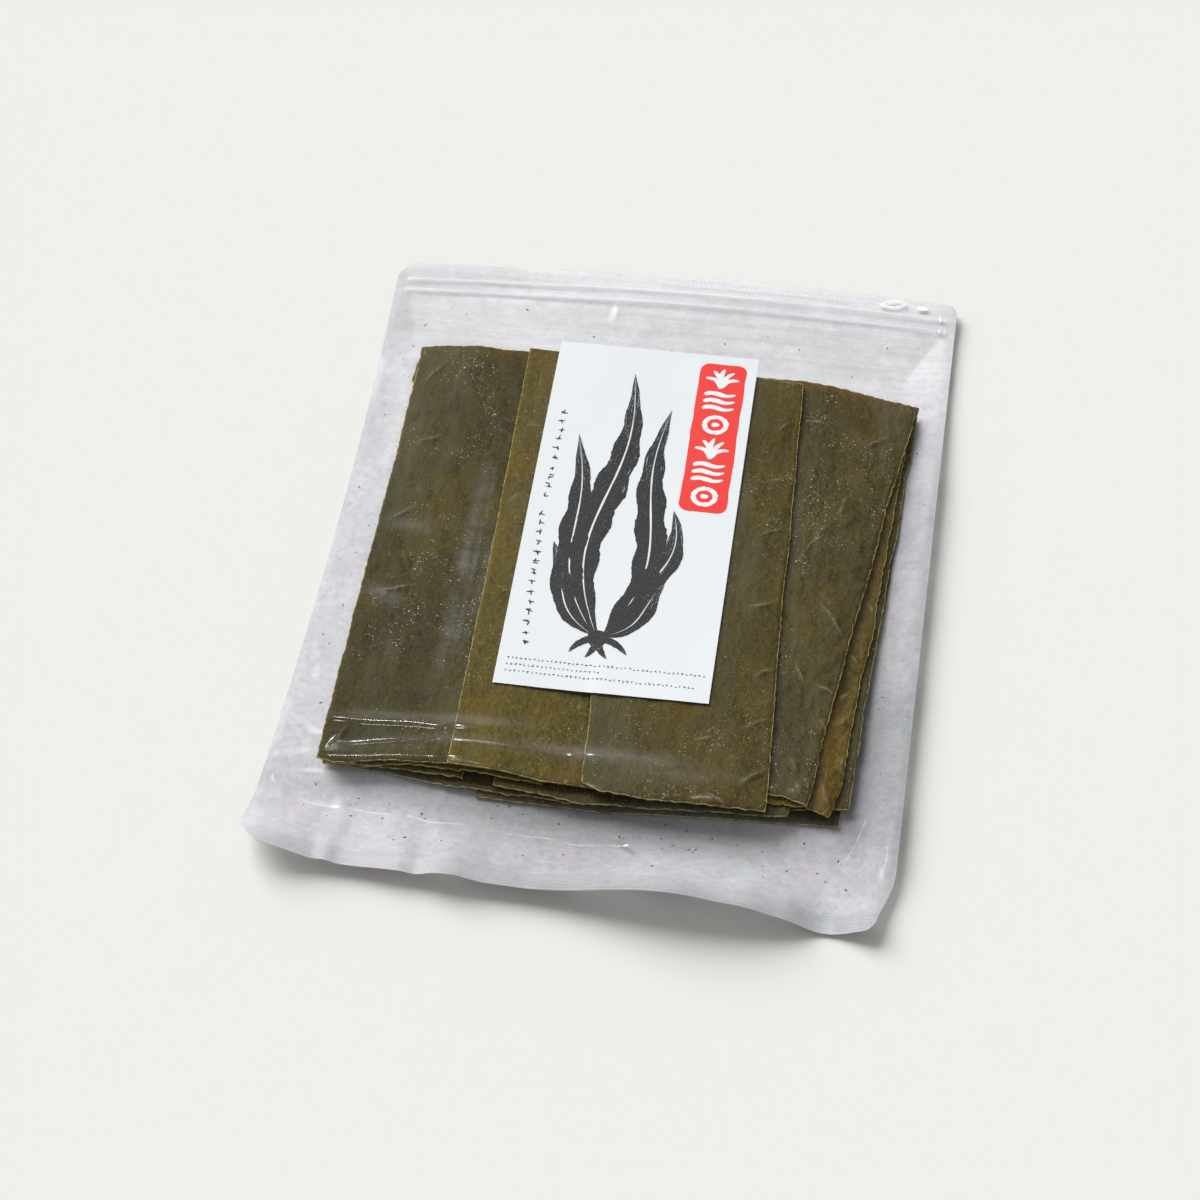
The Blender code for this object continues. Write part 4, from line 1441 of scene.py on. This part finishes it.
def white_mark_finish():
    """Thin white ink with gaps where it has flaked."""
    n = Nodes("white film print")
    flaked = n.band(n.noise(1400.0, 2.0, 0.5), 0.30, 0.50, 0.45, 1.0)
    clear = n.make("ShaderNodeBsdfTransparent", {"Color": (1.0, 1.0, 1.0)}).outputs[0]
    solid = n.make("ShaderNodeBsdfDiffuse", {"Color": (0.95, 0.97, 0.97)}).outputs[0]
    return n.finish(n.make("ShaderNodeMixShader", {0: flaked, 1: clear, 2: solid}).outputs[0])


mark_piece = put_mesh("film_marks", joined(marks), [white_mark_finish()])
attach(mark_piece, "root")

# %% [markdown]
# ## Crumbs
#
# Dried kelp sheds. Eighty crumbs lie between the films: most in front of the stack, some behind it
# and some along its sides. Each is a small irregular lens on a coarse grid, so the whole handful is
# only light work.

# %% Kelp crumbs
CRUMB_COUNT = 80
CRUMB_LIFT = 0.00012
CRUMB_RIM = 0.00005
CRUMB_RISE = 0.00018

crumbs = []
for k in range(CRUMB_COUNT):
    where = rng.uniform()
    if where < 0.62:
        cx, cy = rng.uniform(-0.112, 0.118), -0.134 - 0.030 * rng.uniform() ** 1.5
    elif where < 0.80:
        cx, cy = rng.uniform(-0.112, 0.120), rng.uniform(0.116, 0.150)
    else:
        cx, cy = rng.choice((-1, 1)) * rng.uniform(0.1115, 0.124), rng.uniform(-0.13, 0.12)
    long, wide, turn = rng.uniform(0.0002, 0.0008), rng.uniform(0.00015, 0.0004), rng.uniform(0, math.tau)
    u, v = np.meshgrid(np.linspace(-1, 1, 5), np.linspace(-1, 1, 4))
    jag = 1 + 0.35 * waves(u * 3, v * 3, 2.0, 1500 + k, count=4)
    px, py = long * u * np.sqrt(1 - v * v / 2) * jag, wide * v * np.sqrt(1 - u * u / 2) * jag
    x = cx + px * math.cos(turn) - py * math.sin(turn)
    y = cy + px * math.sin(turn) + py * math.cos(turn)
    base = back_film(x, y) + CRUMB_LIFT
    lens = CRUMB_RISE * np.maximum(1 - 0.8 * np.maximum(u * u, v * v), 0)
    crumbs.append(slab(np.stack([x, y, base + CRUMB_RIM + lens], -1), np.stack([x, y, base], -1)))


def crumb_finish():
    """Dull dark olive, varied from crumb to crumb."""
    n = Nodes("kelp crumbs")
    tone = n.band(n.noise(160.0, 2.0, 0.5), 0.35, 0.65)
    shader = n.make("ShaderNodeBsdfPrincipled", {
        "Base Color": n.mix(tone, (0.035, 0.026, 0.012), (0.16, 0.12, 0.05)),
        "Roughness": n.band(tone, 0.0, 1.0, 0.6, 0.75)})
    return n.finish(shader.outputs[0])


crumb_piece = put_mesh("kelp_crumbs", joined(crumbs), [crumb_finish()])
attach(crumb_piece, "root")
